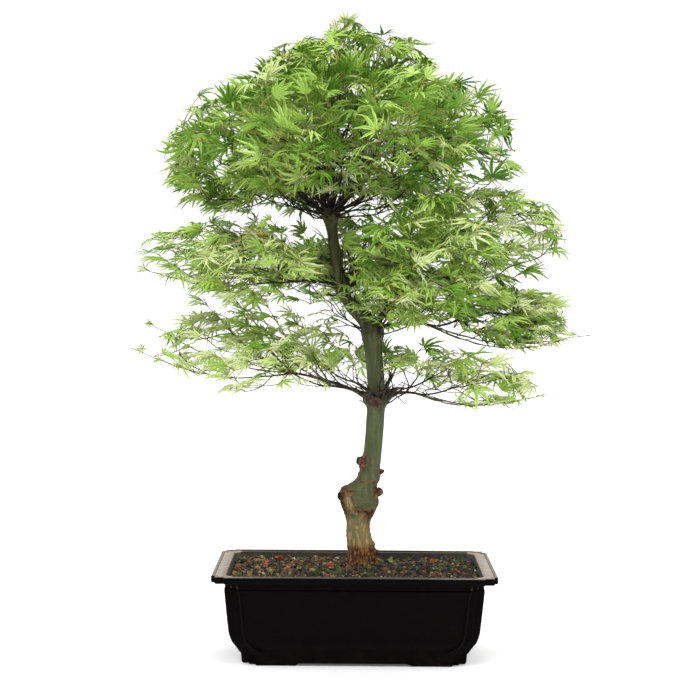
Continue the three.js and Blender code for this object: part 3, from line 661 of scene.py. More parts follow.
def hill(x, middle, spread):
    """A smooth hill of height 1 at its middle, for one place or for many."""
    return np.exp(-(((x - middle) / spread) ** 2))


def level_way(turn):
    return np.array([cos(radians(turn)), sin(radians(turn)), 0])


TREE_PLACE = np.array([-2.2, 0.0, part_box("trunk")[0].z / MM])  # of the trunk's foot

TRUNK_COURSE = np.array([
    [9, 0, 0],
    [6, 0, 44],
    [8.5, 0, 78],
    [18, -1, 104],
    [24, -2, 165],
    [25, -1, 195],
    [21, 1, 245],
    [18, 2, 268],
    [-5, 5, 291],
    [-16, 6, 314],
    [-22, 6, 351],
    [-28, 4, 397],
], float)
TRUNK_TOP = TRUNK_COURSE[-1, 2]
ROOTSTOCK_RADIUS = 13.2
SCION_RADIUS = 10.6
TIP_RADIUS = 6
TRUNK_TAPER = 0.004
GRAFT = (72, 98)
FORK = (262, 296)
# Swellings of the trunk: height, how much thicker it is there, and how far that spreads.
SWELLINGS = {
    "flare": (-4, 3.4, 17),
    "union": (76, 9, 14),
    "scar": (100, 1.2, 4),
    "low whorl": (186, 3.6, 5.5),
    "fork": (262, 3.2, 13),
    "elbow": (306, 1.6, 8),
    "head": (392, 4.4, 11),
}
# Stubs of pruned shoots, each dead at its end, dead at its very tip, or healed to a knob.
Stub = namedtuple("Stub", "height turn length radius end")
STUBS = [
    Stub(75, 183, 24.5, 5, "dead"),
    Stub(80, 352, 22, 4.5, "knob"),
    Stub(105, 3, 16, 2.6, "tip"),
    Stub(117, 178, 16, 5, "tip"),
    Stub(186, 262, 15, 4, "knob"),
    Stub(309, 0, 11, 3, "tip"),
]
STUB_RISE = 0.18
LIMB_RADIUS = 2.5
LIMB_TIP_RADIUS = 1.5
LIMB_BOW = 7
WHORLS = {"low": 186, "fork": 264, "elbow": 307, "head": 391}


class Mass:
    """A mass of foliage: its limb's whorl, its middle, half its size, its joints and its limb's reach."""

    def __init__(self, whorl, middle, half, joints, reach=0.42):
        self.whorl = whorl
        self.middle = np.array(middle, float)
        self.half = np.array(half, float)
        self.joints = joints
        self.reach = reach


MASSES = {
    "crown_top": Mass("head", (-16, 0, 530), (116, 104, 82), 17, 0.4),
    "crown_left": Mass("head", (-126, 0, 460), (102, 86, 80), 12, 0.45),
    "crown_left_back": Mass("head", (-70, 104, 464), (94, 90, 80), 10),
    "crown_right_back": Mass("head", (44, 104, 466), (92, 90, 80), 10),
    "crown_right": Mass("head", (98, 0, 464), (98, 86, 82), 12, 0.45),
    "crown_right_front": Mass("head", (44, -104, 474), (92, 90, 74), 10),
    "crown_left_front": Mass("head", (-70, -104, 474), (94, 90, 72), 10),
    "mid_left": Mass("elbow", (-146, 0, 342), (100, 74, 52), 10),
    "mid_left_front": Mass("elbow", (-104, -94, 330), (82, 70, 48), 8, 0.45),
    "mid_left_back": Mass("elbow", (-108, 94, 334), (82, 70, 50), 8, 0.45),
    "mid_back": Mass("elbow", (4, 122, 342), (70, 70, 56), 7),
    "mid_right_high": Mass("elbow", (138, 4, 364), (118, 78, 62), 12),
    "mid_right_front": Mass("fork", (78, -98, 342), (84, 76, 78), 11),
    "mid_right_back": Mass("fork", (100, 94, 330), (86, 76, 68), 9),
    "mid_right_low": Mass("fork", (164, -4, 278), (94, 74, 42), 10),
    "low_left": Mass("low", (-156, 12, 244), (100, 68, 42), 9, 0.5),
    "low_left_front": Mass("low", (-92, -66, 226), (88, 60, 44), 7),
    "low_back": Mass("low", (-40, 90, 230), (80, 68, 44), 7),
    "low_right": Mass("low", (126, -30, 207), (96, 66, 38), 8),
    "low_right_back": Mass("low", (92, 70, 214), (84, 62, 40), 7),
}
CELL_MARGIN = 1.2
CORE = 0.3
STEM_LEAD = 12
BALANCE = 0.35
TWIG_RADIUS = 1.2
THIN_TIER = 0.62

# The waves in which a mass's twigs grow: the source's own joints first, then finer ones between
# them. Each has its least distance between two joints, how far they keep inside their space, how
# many there are for each of the source's, the least angle at a joint, the room round a twig, how
# many of the nearest joints it tries to grow from, and its tries.
WAVES = [
    {
        "spacing": 24, "margin": [34, 34, 14], "share": 1, "angle": 50, "room": 3.5, "parents": None,
        "tries": 1500,
    },
    {
        "spacing": 12.5, "margin": [20, 20, 10], "share": 4.2, "angle": 26, "room": 1.2, "parents": 12,
        "tries": 2600,
    },
]
FIRST_SPACING = 1.5  # the spacing's share at the first try, which eases to a share of 1 less at the last


def course_point(points, t):
    """A point on the centripetal curve through some points, as the source's curve gives it."""
    place = (len(points) - 1) * t
    k = min(int(place), len(points) - 2)
    before = points[k - 1] if k > 0 else 2 * points[0] - points[1]
    after = points[k + 2] if k + 2 < len(points) else 2 * points[-1] - points[-2]
    p0, p1, p2, p3 = before, points[k], points[k + 1], after
    d0, d1, d2 = (np.sum((q - p) ** 2) ** 0.25 for p, q in ((p0, p1), (p1, p2), (p2, p3)))
    m1 = ((p1 - p0) / d0 - (p2 - p0) / (d0 + d1) + (p2 - p1) / d1) * d1
    m2 = ((p2 - p1) / d1 - (p3 - p1) / (d1 + d2) + (p3 - p2) / d2) * d1
    w = place - k
    return p1 + m1 * w + (-3 * p1 + 3 * p2 - 2 * m1 - m2) * w**2 + (2 * p1 - 2 * p2 + m1 + m2) * w**3


def trunk_middle(height):
    low, high = 0.0, 1.0
    for _ in range(30):
        half = (low + high) / 2
        if course_point(TRUNK_COURSE, half)[2] < height:
            low = half
        else:
            high = half
    return np.array([*course_point(TRUNK_COURSE, low)[:2], height])


def trunk_radius(height):
    own = ROOTSTOCK_RADIUS + (SCION_RADIUS - ROOTSTOCK_RADIUS) * smoothstep(height, *GRAFT)
    tapered = own - height * TRUNK_TAPER
    radius = tapered + (TIP_RADIUS - tapered) * smoothstep(height, *FORK)
    for middle, extra, spread in SWELLINGS.values():
        radius += extra * exp(-(((height - middle) / spread) ** 2))
    return radius


def stub_way(stub):
    return unit(level_way(stub.turn) + STUB_RISE * UP)


def limb_controls(mass):
    """The three control points of the curve of the limb to a mass."""
    start = trunk_middle(WHORLS[mass.whorl])
    end = start + mass.reach * (mass.middle - start)
    bow = -LIMB_BOW if mass.whorl == "head" else LIMB_BOW
    return start, (start + end) / 2 + bow * UP, end


def limb_point(controls, t):
    start, over, end = controls
    return (1 - t) ** 2 * start + 2 * t * (1 - t) * over + t**2 * end


def apart(a0, a1, b0, b1):
    """The least distance of one straight stretch from each of several."""
    u, v, w = a1 - a0, b1 - b0, a0 - b0
    a, b, c, d, e = u @ u, v @ u, np.sum(v * v, 1), w @ u, np.sum(v * w, 1)
    s = np.clip((b * e - c * d) / (a * c - b * b + 1e-9), 0, 1)
    t = np.clip((b * s + e) / c, 0, 1)
    s = np.clip((b * t - d) / a, 0, 1)
    return np.linalg.norm(w + s[:, None] * u - t[:, None] * v, axis=1)


def space_of(mass):
    """The space that a mass keeps to, as a test of many points at once."""
    away, limits = [], []
    for other in MASSES.values():
        if other is mass:
            continue
        way = other.middle - mass.middle
        distance = np.linalg.norm(way)
        share = 0.5 + (np.mean(mass.half) ** 2 - np.mean(other.half) ** 2) / (2 * distance**2)
        away.append(way / distance)
        limits.append(distance * share - CELL_MARGIN)
    away, limits = np.array(away), np.array(limits)

    def inside(points, margin):
        local = np.atleast_2d(points) - mass.middle
        inner = np.maximum(mass.half - margin, mass.half * CORE)
        return (np.linalg.norm(local / inner, axis=1) <= 1) & np.all(local @ away.T < limits, axis=1)

    return inside


class Joint:
    """A joint of the twigs: its place, its parent, and its way along the twigs from the stem."""

    def __init__(self, at, parent=None, ways=()):
        self.at = at
        self.parent = parent
        self.children = []
        self.walk = 0.0
        self.ways = list(ways)
        if parent:
            way = unit(at - parent.at)
            self.walk = parent.walk + np.linalg.norm(at - parent.at)
            self.ways = [-way]
            parent.ways.append(way)
            parent.children.append(self)

    @property
    def way(self):
        return -self.ways[0]

    def has_room(self, way, angle):
        return all(other @ way < cos(radians(angle)) for other in self.ways)

    def ends(self):
        """How many twig ends the joint carries."""
        return sum(child.ends() for child in self.children) if self.children else 1


class Stretches:
    """Straight stretches that new twigs and leaves keep clear of: two ends, a radius and their joints."""

    def __init__(self, rows):
        self.rows = list(rows)

    def add(self, parent, joint):
        self.rows.append((parent.at, joint.at, TWIG_RADIUS, (parent, joint)))

    def room(self, start, end, joint=None):
        """The least room between a stretch and these, apart from those that meet at its joint."""
        starts, ends, radii, pairs = zip(*self.rows)
        distance = apart(start, end, np.array(starts), np.array(ends)) - radii
        if joint:
            distance[[joint in pair for pair in pairs]] = np.inf
        return distance.min()


def grow_twigs(mass, foot, aim, inside, stretches, random):
    """The joints of a mass's twigs, the stem's foot first. Each later one grows from an earlier one."""
    joints = [Joint(foot, ways=[aim])]

    def grow(at, parent):
        joint = Joint(at, parent)
        joints.append(joint)
        stretches.add(parent, joint)

    grow(foot + STEM_LEAD * aim, joints[0])
    found = []
    for wave in WAVES:
        new = []
        thin = THIN_TIER if found and mass.whorl == "low" else 1
        wanted = round(mass.joints * wave["share"] * thin)
        for k in range(wave["tries"]):
            if len(new) == wanted:
                break
            point = mass.middle + mass.half * (2 * np.array([random(), random(), random()]) - 1)
            room = wave["spacing"] * (FIRST_SPACING - k / wave["tries"])
            if found or new:
                if np.linalg.norm(np.array(found + new) - point, axis=1).min() <= room:
                    continue
            if inside(point, wave["margin"])[0] and (not found or under_roof(point[None])):
                new.append(point)
        found += new
        new.sort(key=lambda point: np.linalg.norm(point - foot))
        for point in new:
            parents = sorted(
                joints[1:],
                key=lambda joint: np.linalg.norm(point - joint.at) + BALANCE * joint.walk,
            )
            for parent in parents[: wave["parents"]]:
                if not parent.has_room(unit(point - parent.at), wave["angle"]):
                    continue
                if stretches.room(parent.at, point, parent) > wave["room"]:
                    grow(point, parent)
                    break
    return joints


# ---------------------------------------------------------------- the leaf

# The lobes, from the middle one outwards: turn from the leaf's way, length and width as shares.
HALF_LOBES = [(39, 0.9, 0.076), (80, 0.7, 0.082), (118, 0.42, 0.1)]
LOBES = [(-turn, length, width) for turn, length, width in HALF_LOBES[::-1]] + [(0, 1, 0.072)] + HALF_LOBES
LEAF_FORMS = {  # the least and the most of each way in which leaves differ
    "spread": (0.45, 0.9),
    "width": (0.85, 1.3),
    "fold": (0.3, 1.0),
    "droop": (-0.1, 0.44),
    "twist": (-0.35, 0.35),
    "curl": (-1, 1),
    "sweep": (-0.4, 0.4),
}
WAVINESS = {"height": 0.17, "along": 5, "round": 3}
NOTCH = 0.14  # how far out the blade is whole, as a share of its length
END_NOTCH = {"turn": 30, "out": 0.09}  # and beside the last lobes
# How dark the rib's colour is at a notch and at a lobe's tip, where it is 1 along a midrib.
NOTCH_DARK = 0.35
TIP_DARK = 0.6
# A lobe's outline on one side: shares of its length and of its width. Each tooth has two points.
LOBE_EDGE = [(0.38, 1.0), (0.42, 0.8), (0.62, 0.9), (0.66, 0.62), (0.85, 0.36)]
MIDRIB = [0.36, 0.6, 0.82]


def leaf_template():
    """One leaf's points, as a turn, shares of length along and across it and darkness, and its faces."""
    points = [(0.0, 0.0, 0.0, 1.0)]
    faces = []

    def point(*values):
        points.append(values)
        return len(points) - 1

    notches = [point(LOBES[0][0] - END_NOTCH["turn"], END_NOTCH["out"], 0, NOTCH_DARK)]
    for (turn, length, _), (next_turn, next_length, _) in zip(LOBES, LOBES[1:]):
        notches.append(point((turn + next_turn) / 2, NOTCH * (length + next_length) / 2, 0, NOTCH_DARK))
    notches.append(point(LOBES[-1][0] + END_NOTCH["turn"], END_NOTCH["out"], 0, NOTCH_DARK))
    for (turn, length, width), low, high in zip(LOBES, notches, notches[1:]):
        m1, m2, m3 = (point(turn, share * length, 0, 1) for share in MIDRIB)
        tip = point(turn, length, 0, TIP_DARK)
        for side, notch in ((-1, low), (1, high)):
            edge = [point(turn, s * length, side * w * width * length, 0) for s, w in LOBE_EDGE]
            rows = [[0, notch, edge[0], m1], [m1, *edge[:3], m2], [m2, *edge[2:], m3], [m3, edge[4], tip]]
            faces += [row if side < 0 else row[::-1] for row in rows]
    return np.array(points).T, faces


TEMPLATE, TEMPLATE_FACES = leaf_template()


def leaf_points(bases, axes, faces_up, lengths, forms):
    """The points of many leaves, each with its own value of every one of the leaf forms."""
    turns, along, across, _ = TEMPLATE
    spread, width, fold, droop, twist, curl, sweep = (forms[:, i : i + 1] for i in range(len(LEAF_FORMS)))
    angle = np.radians(turns)[None, :] * spread + sweep * along[None, :] ** 2
    aside = across[None, :] * width
    x = along * np.cos(angle) - aside * np.sin(angle)
    y = along * np.sin(angle) + aside * np.cos(angle)
    reach = along[None, :]
    phase = WAVINESS["along"] * reach + WAVINESS["round"] * angle
    wave = WAVINESS["height"] * curl * reach * np.sin(phase)
    z = fold * np.abs(aside) - droop * reach**2 + twist * x * y + wave
    left = np.cross(faces_up, axes)
    scaled = [(lengths[:, None] * part)[:, :, None] for part in (x, y, z)]
    out, over, lift = (part * way[:, None] for part, way in zip(scaled, (axes, left, faces_up)))
    return bases[:, None, :] + out + over + lift


# ---------------------------------------------------------------- where leaves grow

Leaf = namedtuple("Leaf", "joint base axis face length")
LEAF_LENGTH = 31
PETIOLE = 15
LEAF_ROOM = 7.5  # least distance between the middles of two leaves
# Each of these starts at its first value and may lose up to its second.
LENGTH_RANGE = (1.12, 0.42)
PETIOLE_RANGE = (1.2, 0.6)
ROOM_RANGE = (1.3, 0.6)
LEAF_TRIES = 36
LEAVES_PER_JOINT = {"head": 3.8, "elbow": 2.8, "fork": 3.5, "low": 2.0}
SPARSE = {"crown_right": 0.7, "crown_right_front": 0.85, "mid_left": 0.68, "mid_left_front": 0.75}
LIMB_ROOM = 2.5
LEAF_MARGIN = (8, 8, 6)  # how far a leaf's middle keeps inside its mass's space
LEAF_PROUD = 8  # and how far its tips may stand outside the object's box
# How a leaf points: aside or ahead of its twig, and how far it strays and lets go of that with each
# try. Then how much its stalk rises, and where its middle and its side tips are.
AIM = {"aside": 0.8, "beside": 0.3, "ahead": 0.9, "let_go": 0.9, "stray": 0.8, "stray_more": 3.6}
STALK_LIFT = 0.45
LEAF_MIDDLE = 0.4
SIDE_TIP = (0.75, 0.5)
# How leaves lie in the dome and in the tiers under it: how much they point out from the middle, from
# which height, their rise and how much of their way's own rise is added to it, how much their faces
# turn up, out and anywhere, and how far across the leaves reach.
LEAF_WAYS = {
    "dome": {
        "out": 1.0, "from": 410, "rise": (-0.3, 0.5), "own": 0.85, "up": 1, "side": 0.35, "roll": 1.8,
        "span": (-250, 250),
    },
    "tier": {
        "out": 0.9, "from": None, "rise": (-0.3, 0.36), "own": 0.5, "up": 1.3, "side": 0.4, "roll": 1.7,
        "span": (-246, 240),
    },
    "low": {
        "out": 0.9, "from": None, "rise": (-0.34, 0.36), "own": 0.5, "up": 1.3, "side": 0.4, "roll": 1.7,
        "span": (-210, 204),
    },
}
CROWN_AXIS = -10
# Heights between which the trunk shows from the front, and how far to each side no leaf covers it.
CLEAR_VIEWS = [(140, 247, 17), (318, 386, 11)]
# The heights, and the reach from the trunk, of the bare twigs at the lowest whorl and at the head.
BARE = [(140, 224, 84), (380, 412, 74)]
# The top of the tree from the front, as places across and heights, its peak, and how much narrower it
# is in depth.
ROOF = np.array([
    (-228, 440), (-219, 460), (-207, 478), (-180, 514), (-151, 545), (-107, 568), (-66, 584), (-36, 600),
    (-11, 630), (10, 604), (47, 592), (86, 580), (110, 562), (161, 540), (180, 495), (194, 440),
])
ROOF_PEAK = ROOF[ROOF[:, 1].argmax(), 0]
ROOF_DEPTH = 0.8

TRUNK_LINE = np.array([course_point(TRUNK_COURSE, k / 80) for k in range(81)])
PROUD_BOX = [np.array(cad_box[0]) / MM - LEAF_PROUD, np.array(cad_box[1]) / MM + LEAF_PROUD]


def place_tree(points):
    """Points of the tree, from the flat cut under its trunk, in the object's own frame."""
    return points + TREE_PLACE


def three(random):
    return np.array([random(), random(), random()]) - 0.5


def less(limits, share):
    """A value that starts at its first limit and loses a share of its second."""
    most, loss = limits
    return most - loss * share


def under_roof(points):
    """Whether some points are under the tree's roof, which is as round in depth as across."""
    aside = points[:, 0] - ROOF_PEAK
    across = ROOF_PEAK + np.sign(aside) * np.hypot(aside, ROOF_DEPTH * points[:, 1])
    return np.all(points[:, 2] < np.interp(across, ROOF[:, 0], ROOF[:, 1]))


def clear_of_trunk(points):
    """Whether some points leave the trunk's front in view and the bare twigs round it bare."""
    beside = np.abs(points[:, 0] - np.interp(points[:, 2], TRUNK_LINE[:, 2], TRUNK_LINE[:, 0]))
    before = points[:, 1] < 0
    for low, high, half in CLEAR_VIEWS:
        if np.any(before & (beside < half) & (points[:, 2] > low) & (points[:, 2] < high)):
            return False
    away = np.hypot(beside, points[:, 1])
    for low, high, reach in BARE:
        if np.any((points[:, 2] > low) & (points[:, 2] < high) & (away < reach)):
            return False
    return True


def grow_leaves(joint, inside, stretches, centres, random, wanted, size=1.0, way="tier"):
    """The leaves on a joint, outward and sideways first, wherever they are clear of the rest."""
    lie = LEAF_WAYS[way]
    along = joint.way
    level = np.array([0.0, 1.0, 0.0]) if abs(along[2]) > 0.95 else UP
    across = unit(np.cross(level, along))
    start = np.array([CROWN_AXIS, 0, lie["from"] or joint.at[2]])
    outward = unit(joint.at - start)
    leaves = []
    for k in range(LEAF_TRIES):
        if len(leaves) == wanted:
            break
        ease = k / LEAF_TRIES
        side = (1, -1, 0)[k % 3]
        stray = three(random)
        ahead = AIM["beside" if side else "ahead"]
        axis = across * side * AIM["aside"] + along * ahead + outward * lie["out"]
        axis = axis * (1 - AIM["let_go"] * ease) + stray * (AIM["stray"] + AIM["stray_more"] * ease)
        low, high = lie["rise"]
        axis[2] = lie["own"] * axis[2] + low + (high - low) * random()
        axis = unit(axis)
        face = lie["up"] * UP + lie["side"] * outward + lie["roll"] * three(random)
        face = unit(face - (face @ axis) * axis)
        length = size * LEAF_LENGTH * less(LENGTH_RANGE, random())
        lift = unit(axis + STALK_LIFT * UP)
        base = joint.at + lift * size * PETIOLE * less(PETIOLE_RANGE, random())
        reach = base + axis * length * LEAF_MIDDLE
        room = size * LEAF_ROOM * less(ROOM_RANGE, ease)
        if centres and np.linalg.norm(np.array(centres) - reach, axis=1).min() < room:
            continue
        if not inside(np.vstack([base, reach]), LEAF_MARGIN).all():
            continue
        left = np.cross(face, axis)
        up_side, aside = SIDE_TIP[0] * axis, SIDE_TIP[1] * left
        tips = base + length * np.array([axis, up_side + aside, up_side - aside])
        placed = place_tree(tips)
        if np.any(placed < PROUD_BOX[0]) or np.any(placed > PROUD_BOX[1]):
            continue
        if tips[:, 0].min() < lie["span"][0] or tips[:, 0].max() > lie["span"][1]:
            continue
        if not under_roof(tips) or not clear_of_trunk(np.vstack([base, reach, tips])):
            continue
        if stretches.room(base, tips[0]) < LIMB_ROOM:
            continue
        centres.append(reach)
        leaves.append(Leaf(joint, base, axis, face, length))
    return leaves


def grow_mass(name, mass, limbs, seed):
    """All the joints of a mass, and its leaves, each as its joint and its place."""
    random = seeded(seed)
    inside = space_of(mass)
    controls = limb_controls(mass)
    aim = unit(controls[2] - controls[1])
    joints = grow_twigs(mass, controls[2], aim, inside, Stretches(limbs.rows), random)
    centres, leaves = [], []
    full = LEAVES_PER_JOINT[mass.whorl] * SPARSE.get(name, 1)
    way = {"head": "dome", "low": "low"}.get(mass.whorl, "tier")
    for joint in joints[2:]:
        wanted = int(full + random() - (1 if joint.children else 0))
        leaves += grow_leaves(joint, inside, limbs, centres, random, wanted, way=way)
    return joints, leaves


# ---------------------------------------------------------------- twigs, stalks and shoots

END_RADIUS = 0.42  # of the finest twigs
THICKENING = 0.36  # the power of what a twig carries by which it thickens
TWIG_FOOT = 1.12  # how much thicker a twig is at its foot
NODE_SWELLING = 1.35
TWIG_STEPS = 5
TWIG_BEND = {"before": 0.5, "own": 0.9, "rise": 0.18}
OLD_TWIG = 2.5  # how many ends a twig carries whose bark is old
STALK_RADII = [0.62, 0.42, 0.4, 0.42, 0.5]
STALK_BEND = {"back": 0.12, "up": 0.08}
STALK_SUNK = {"along": 0.8, "under": 0.3}  # how far its end is under the blade

# Thin bare twigs round each whorl.
Brush = namedtuple("Brush", "whorl count length rise radius")
BRUSH = [
    Brush("low", 22, (9, 42), (-8, 55), 1.1),
    Brush("low", 20, (14, 32), (10, 75), 2.5),
    Brush("fork", 26, (16, 62), (-5, 60), 1.0),
    Brush("elbow", 28, (16, 64), (-5, 62), 0.95),
    Brush("head", 56, (30, 112), (0, 80), 1.1),
]
BRUSH_HEIGHTS = (-8, 6)
BRUSH_STEPS = 7
BRUSH_TIP = 0.42
BRUSH_START = 0.7  # trunk radii from the axis
BRUSH_BEND = 0.12
KINK = 0.022
# Short shoots along each limb, and those that the longer of all these twigs branch into.
SPURS = {"count": 6, "from": 0.25, "length": (10, 34), "radius": 0.7, "along": 0.5, "stray": 0.6, "up": 0.4}
FORKED = {"longer": 26, "at": (3, 5), "share": (0.3, 0.6), "radius": 0.75, "stray": 0.55, "up": 0.15}

# Long thin shoots that reach past the foliage: the mass whose limb each carries on, its tip and the
# size of its leaves.
SHOOTS = [
    ("mid_right_low", (257, -20, 262), 0.55),
    ("mid_right_low", (214, -42, 250), 0.55),
    ("low_left", (-246, 20, 240), 0.55),
    ("low_left", (-228, -12, 274), 0.6),
    ("low_right", (206, -34, 196), 0.55),
    ("low_right", (166, -62, 192), 0.6),
    ("mid_left", (-236, -8, 330), 0.7),
    ("low_left", (-132, -30, 300), 1.0),
    ("low_left", (-168, 10, 296), 0.9),
    ("low_left_front", (-96, -64, 296), 1.0),
    ("low_left_front", (-62, -50, 284), 0.9),
    ("low_left", (-112, 6, 306), 1.0),
    ("low_left_front", (-128, -70, 300), 1.0),
    ("crown_top", (-12, -6, 606), 0.9),
    ("crown_top", (-28, -14, 596), 0.9),
    ("mid_left", (-112, -12, 392), 0.8),
    ("mid_left_front", (-84, -70, 380), 0.8),
    ("crown_left", (-150, -20, 392), 0.9),
    ("crown_right", (118, -40, 398), 0.9),
    ("crown_right", (150, -10, 412), 0.9),
]
SHOOT_STEPS = 16
SHOOT_SAG = 0.09
SHOOT_RADII = (1.0, 0.32)
SHOOT_NODE = 1.4  # how much thicker it is at each third point
SHOOT_STRAY = 0.9
SHOOT_LEAVES = (1.1, 0.35)
INNER_LEAVES = (2, 0.8)  # how many at the end of a bare twig, and their size


def twig_paths(joints):
    """The curved way of each twig to a joint from its parent, and its radii."""
    paths, radii, tints = [], [], []
    shares = np.linspace(0, 1, TWIG_STEPS)
    for joint in joints[1:]:
        parent = joint.parent
        start_way = parent.way if parent.parent else parent.ways[0]
        length = np.linalg.norm(joint.at - parent.at)
        lead = unit(start_way * TWIG_BEND["before"] + joint.way * TWIG_BEND["own"]) * length
        arrive = unit(joint.way + TWIG_BEND["rise"] * UP) * length
        s = shares[:, None]
        path = (
            (2 * s**3 - 3 * s**2 + 1) * parent.at
            + (s**3 - 2 * s**2 + s) * lead
            + (3 * s**2 - 2 * s**3) * joint.at
            + (s**3 - s**2) * arrive
        )
        own = min(END_RADIUS * joint.ends() ** THICKENING, LIMB_TIP_RADIUS)
        foot = min(own * TWIG_FOOT, LIMB_TIP_RADIUS)
        along = own + (foot - own) * (1 - shares)
        along[-1] *= NODE_SWELLING
        paths.append(path)
        radii.append(along)
        tints.append(min(joint.ends() / OLD_TWIG, 1.0))
    return np.array(paths), np.array(radii), np.array(tints)


def column(leaves, part):
    return np.array([getattr(leaf, part) for leaf in leaves])


def stalk_paths(leaves):
    """The curved stalk of each leaf, from its joint to the foot of its blade."""
    starts = np.array([leaf.joint.at for leaf in leaves])
    bases, axes, faces = (column(leaves, part) for part in ("base", "axis", "face"))
    length = np.linalg.norm(bases - starts, axis=1, keepdims=True)
    bend = (starts + bases) / 2 - axes * length * STALK_BEND["back"] + UP * length * STALK_BEND["up"]
    ends = bases + axes * STALK_SUNK["along"] - faces * STALK_SUNK["under"]
    s = np.linspace(0, 1, len(STALK_RADII))[None, :, None]
    paths = (1 - s) ** 2 * starts[:, None] + 2 * s * (1 - s) * bend[:, None] + s**2 * ends[:, None]
    return paths, np.tile(STALK_RADII, (len(leaves), 1))


def bent_path(start, way, length, rng):
    """A short twig's way: straight at first, then rising, with small kinks."""
    s = np.linspace(0, 1, BRUSH_STEPS)[:, None]
    path = start + length * (s * way + BRUSH_BEND * s**2 * UP)
    return path + rng.normal(0, KINK * length, path.shape) * s


def random_way(rng, low, high):
    turn, rise = rng.uniform(0, 2 * pi), radians(rng.uniform(low, high))
    return np.array([cos(turn) * cos(rise), sin(turn) * cos(rise), sin(rise)])


def grow_brush(rng):
    """Bare twigs round the whorls and spurs along the limbs: their paths and radii."""
    rows = []
    taper = np.linspace(1, BRUSH_TIP, BRUSH_STEPS)
    for brush in BRUSH:
        for _ in range(brush.count):
            height = min(WHORLS[brush.whorl] + rng.uniform(*BRUSH_HEIGHTS), TRUNK_TOP - 3)
            way = random_way(rng, *brush.rise)
            start = trunk_middle(height) + way * [1, 1, 0] * BRUSH_START * trunk_radius(height)
            rows.append((bent_path(start, way, rng.uniform(*brush.length), rng), brush.radius * taper))
    for mass in MASSES.values():
        controls = limb_controls(mass)
        for share in rng.uniform(SPURS["from"], 1, SPURS["count"]):
            start = limb_point(controls, share)
            along = unit(controls[2] - controls[0])
            way = unit(SPURS["along"] * along + rng.normal(0, SPURS["stray"], 3) + SPURS["up"] * UP)
            spur = bent_path(start, way, rng.uniform(*SPURS["length"]), rng)
            rows.append((spur, SPURS["radius"] * taper))
    for path, radii in list(rows):
        length = np.linalg.norm(path[-1] - path[0])
        for k in FORKED["at"] if length > FORKED["longer"] else ():
            along = unit(path[k + 1] - path[k])
            way = unit(along + rng.normal(0, FORKED["stray"], 3) + FORKED["up"] * UP)
            branch = bent_path(path[k], way, length * rng.uniform(*FORKED["share"]), rng)
            rows.append((branch, FORKED["radius"] * radii))
    return np.array([row[0] for row in rows]), np.array([row[1] for row in rows])


def everywhere(points, margin):
    return np.ones(len(points), bool)


def brush_leaves(paths, limbs, random):
    """A few leaves at the ends of the brush's twigs."""
    leaves, centres = [], []
    for path in paths:
        joint = Joint(path[-1], Joint(path[-3]))
        leaves += grow_leaves(joint, everywhere, limbs, centres, random, *INNER_LEAVES)
    return leaves


def grow_shoots(limbs, rng):
    """The long shoots' paths and radii, and the small leaves along their outer half."""
    paths, leaves, centres = [], [], []
    s = np.linspace(0, 1, SHOOT_STEPS)[:, None]
    for name, tip, leaf_size in SHOOTS:
        start = limb_controls(MASSES[name])[2]
        chord = np.array(tip, float) - start
        sag = np.linalg.norm(chord) * SHOOT_SAG
        stray = rng.normal(0, SHOOT_STRAY, (SHOOT_STEPS, 3))
        path = start + chord * s - UP * sag * np.sin(pi * s) + stray * s
        paths.append(path)
        way = "dome" if name == "crown_top" else "tier"
        for k in range(SHOOT_STEPS // 2, SHOOT_STEPS, 2):
            joint = Joint(path[k], Joint(path[k - 1]))
            size = leaf_size * less(SHOOT_LEAVES, k / SHOOT_STEPS)
            wanted = 3 if size > 0.7 else 2
            leaves += grow_leaves(joint, everywhere, limbs, centres, rng.random, wanted, size, way)
    nodes = np.where(np.arange(SHOOT_STEPS) % 3 == 0, SHOOT_NODE, 1.0)
    radii = np.linspace(*SHOOT_RADII, SHOOT_STEPS) * nodes
    return np.array(paths), np.tile(radii, (len(paths), 1)), leaves


# ---------------------------------------------------------------- trunk and limbs

BARK_VOXEL = 0.8
SMOOTHINGS = 3
TRUNK_FOOT = -1.5  # how far under the flat cut the skin starts
STUB_SHAPE = {"taper": 0.42, "bumps": 0.12, "waves": 9}
COLLAR = {"extra": 1.3, "length": 0.16}  # a limb's thicker foot
LIMB_BUMPS = {"depth": 0.1, "waves": 23}
ROOT_RIBS = {"count": 5, "depth": 1.6, "height": 26, "turn": 0.8}
GRAFT_LINE = {"height": 88, "dip": 20, "dip_turn": 290, "sides": (0.55, 0.98), "waves": 2.2}
LIP = {"extra": 2.6, "below": 2.6, "spread": 3.4, "scar": 0.9}
RING_SCAR = {"height": 98, "dip": 2.5, "spread": 1.3, "out": 0.45}
LIMB_FROM = (1.25, 1.9)  # trunk radii from the axis between which bark turns into a limb's
LIMB_RELIEF = 0.75  # how much flatter the bark is on limbs
WHORL_SHADE = {"spread": 8, "least": 0.55, "more": 0.8, "above": 150}  # painted shade round the whorls, under the foliage, laid on in the limbs' dark bark colour
# Healed lumps on the trunk: height, direction, size, how far they stand out.
KNOBS = [
    (84, 176, 9, 2.6),
    (83, 352, 7, 1.2),
    (66, 205, 10, 1.8),
    (60, 330, 8, 1.2),
    (17, 352, 15, 4.4),
    (115, 178, 10, 2.4),
    (104, 4, 6, 1.6),
    (186, 262, 9, 2.0),
    (189, 20, 8, 1.8),
    (187, 165, 8, 1.8),
    (262, 300, 12, 1.6),
    (312, 350, 9, 1.6),
]
SCARRED = (50, 150)  # the heights between which a lump is scarred
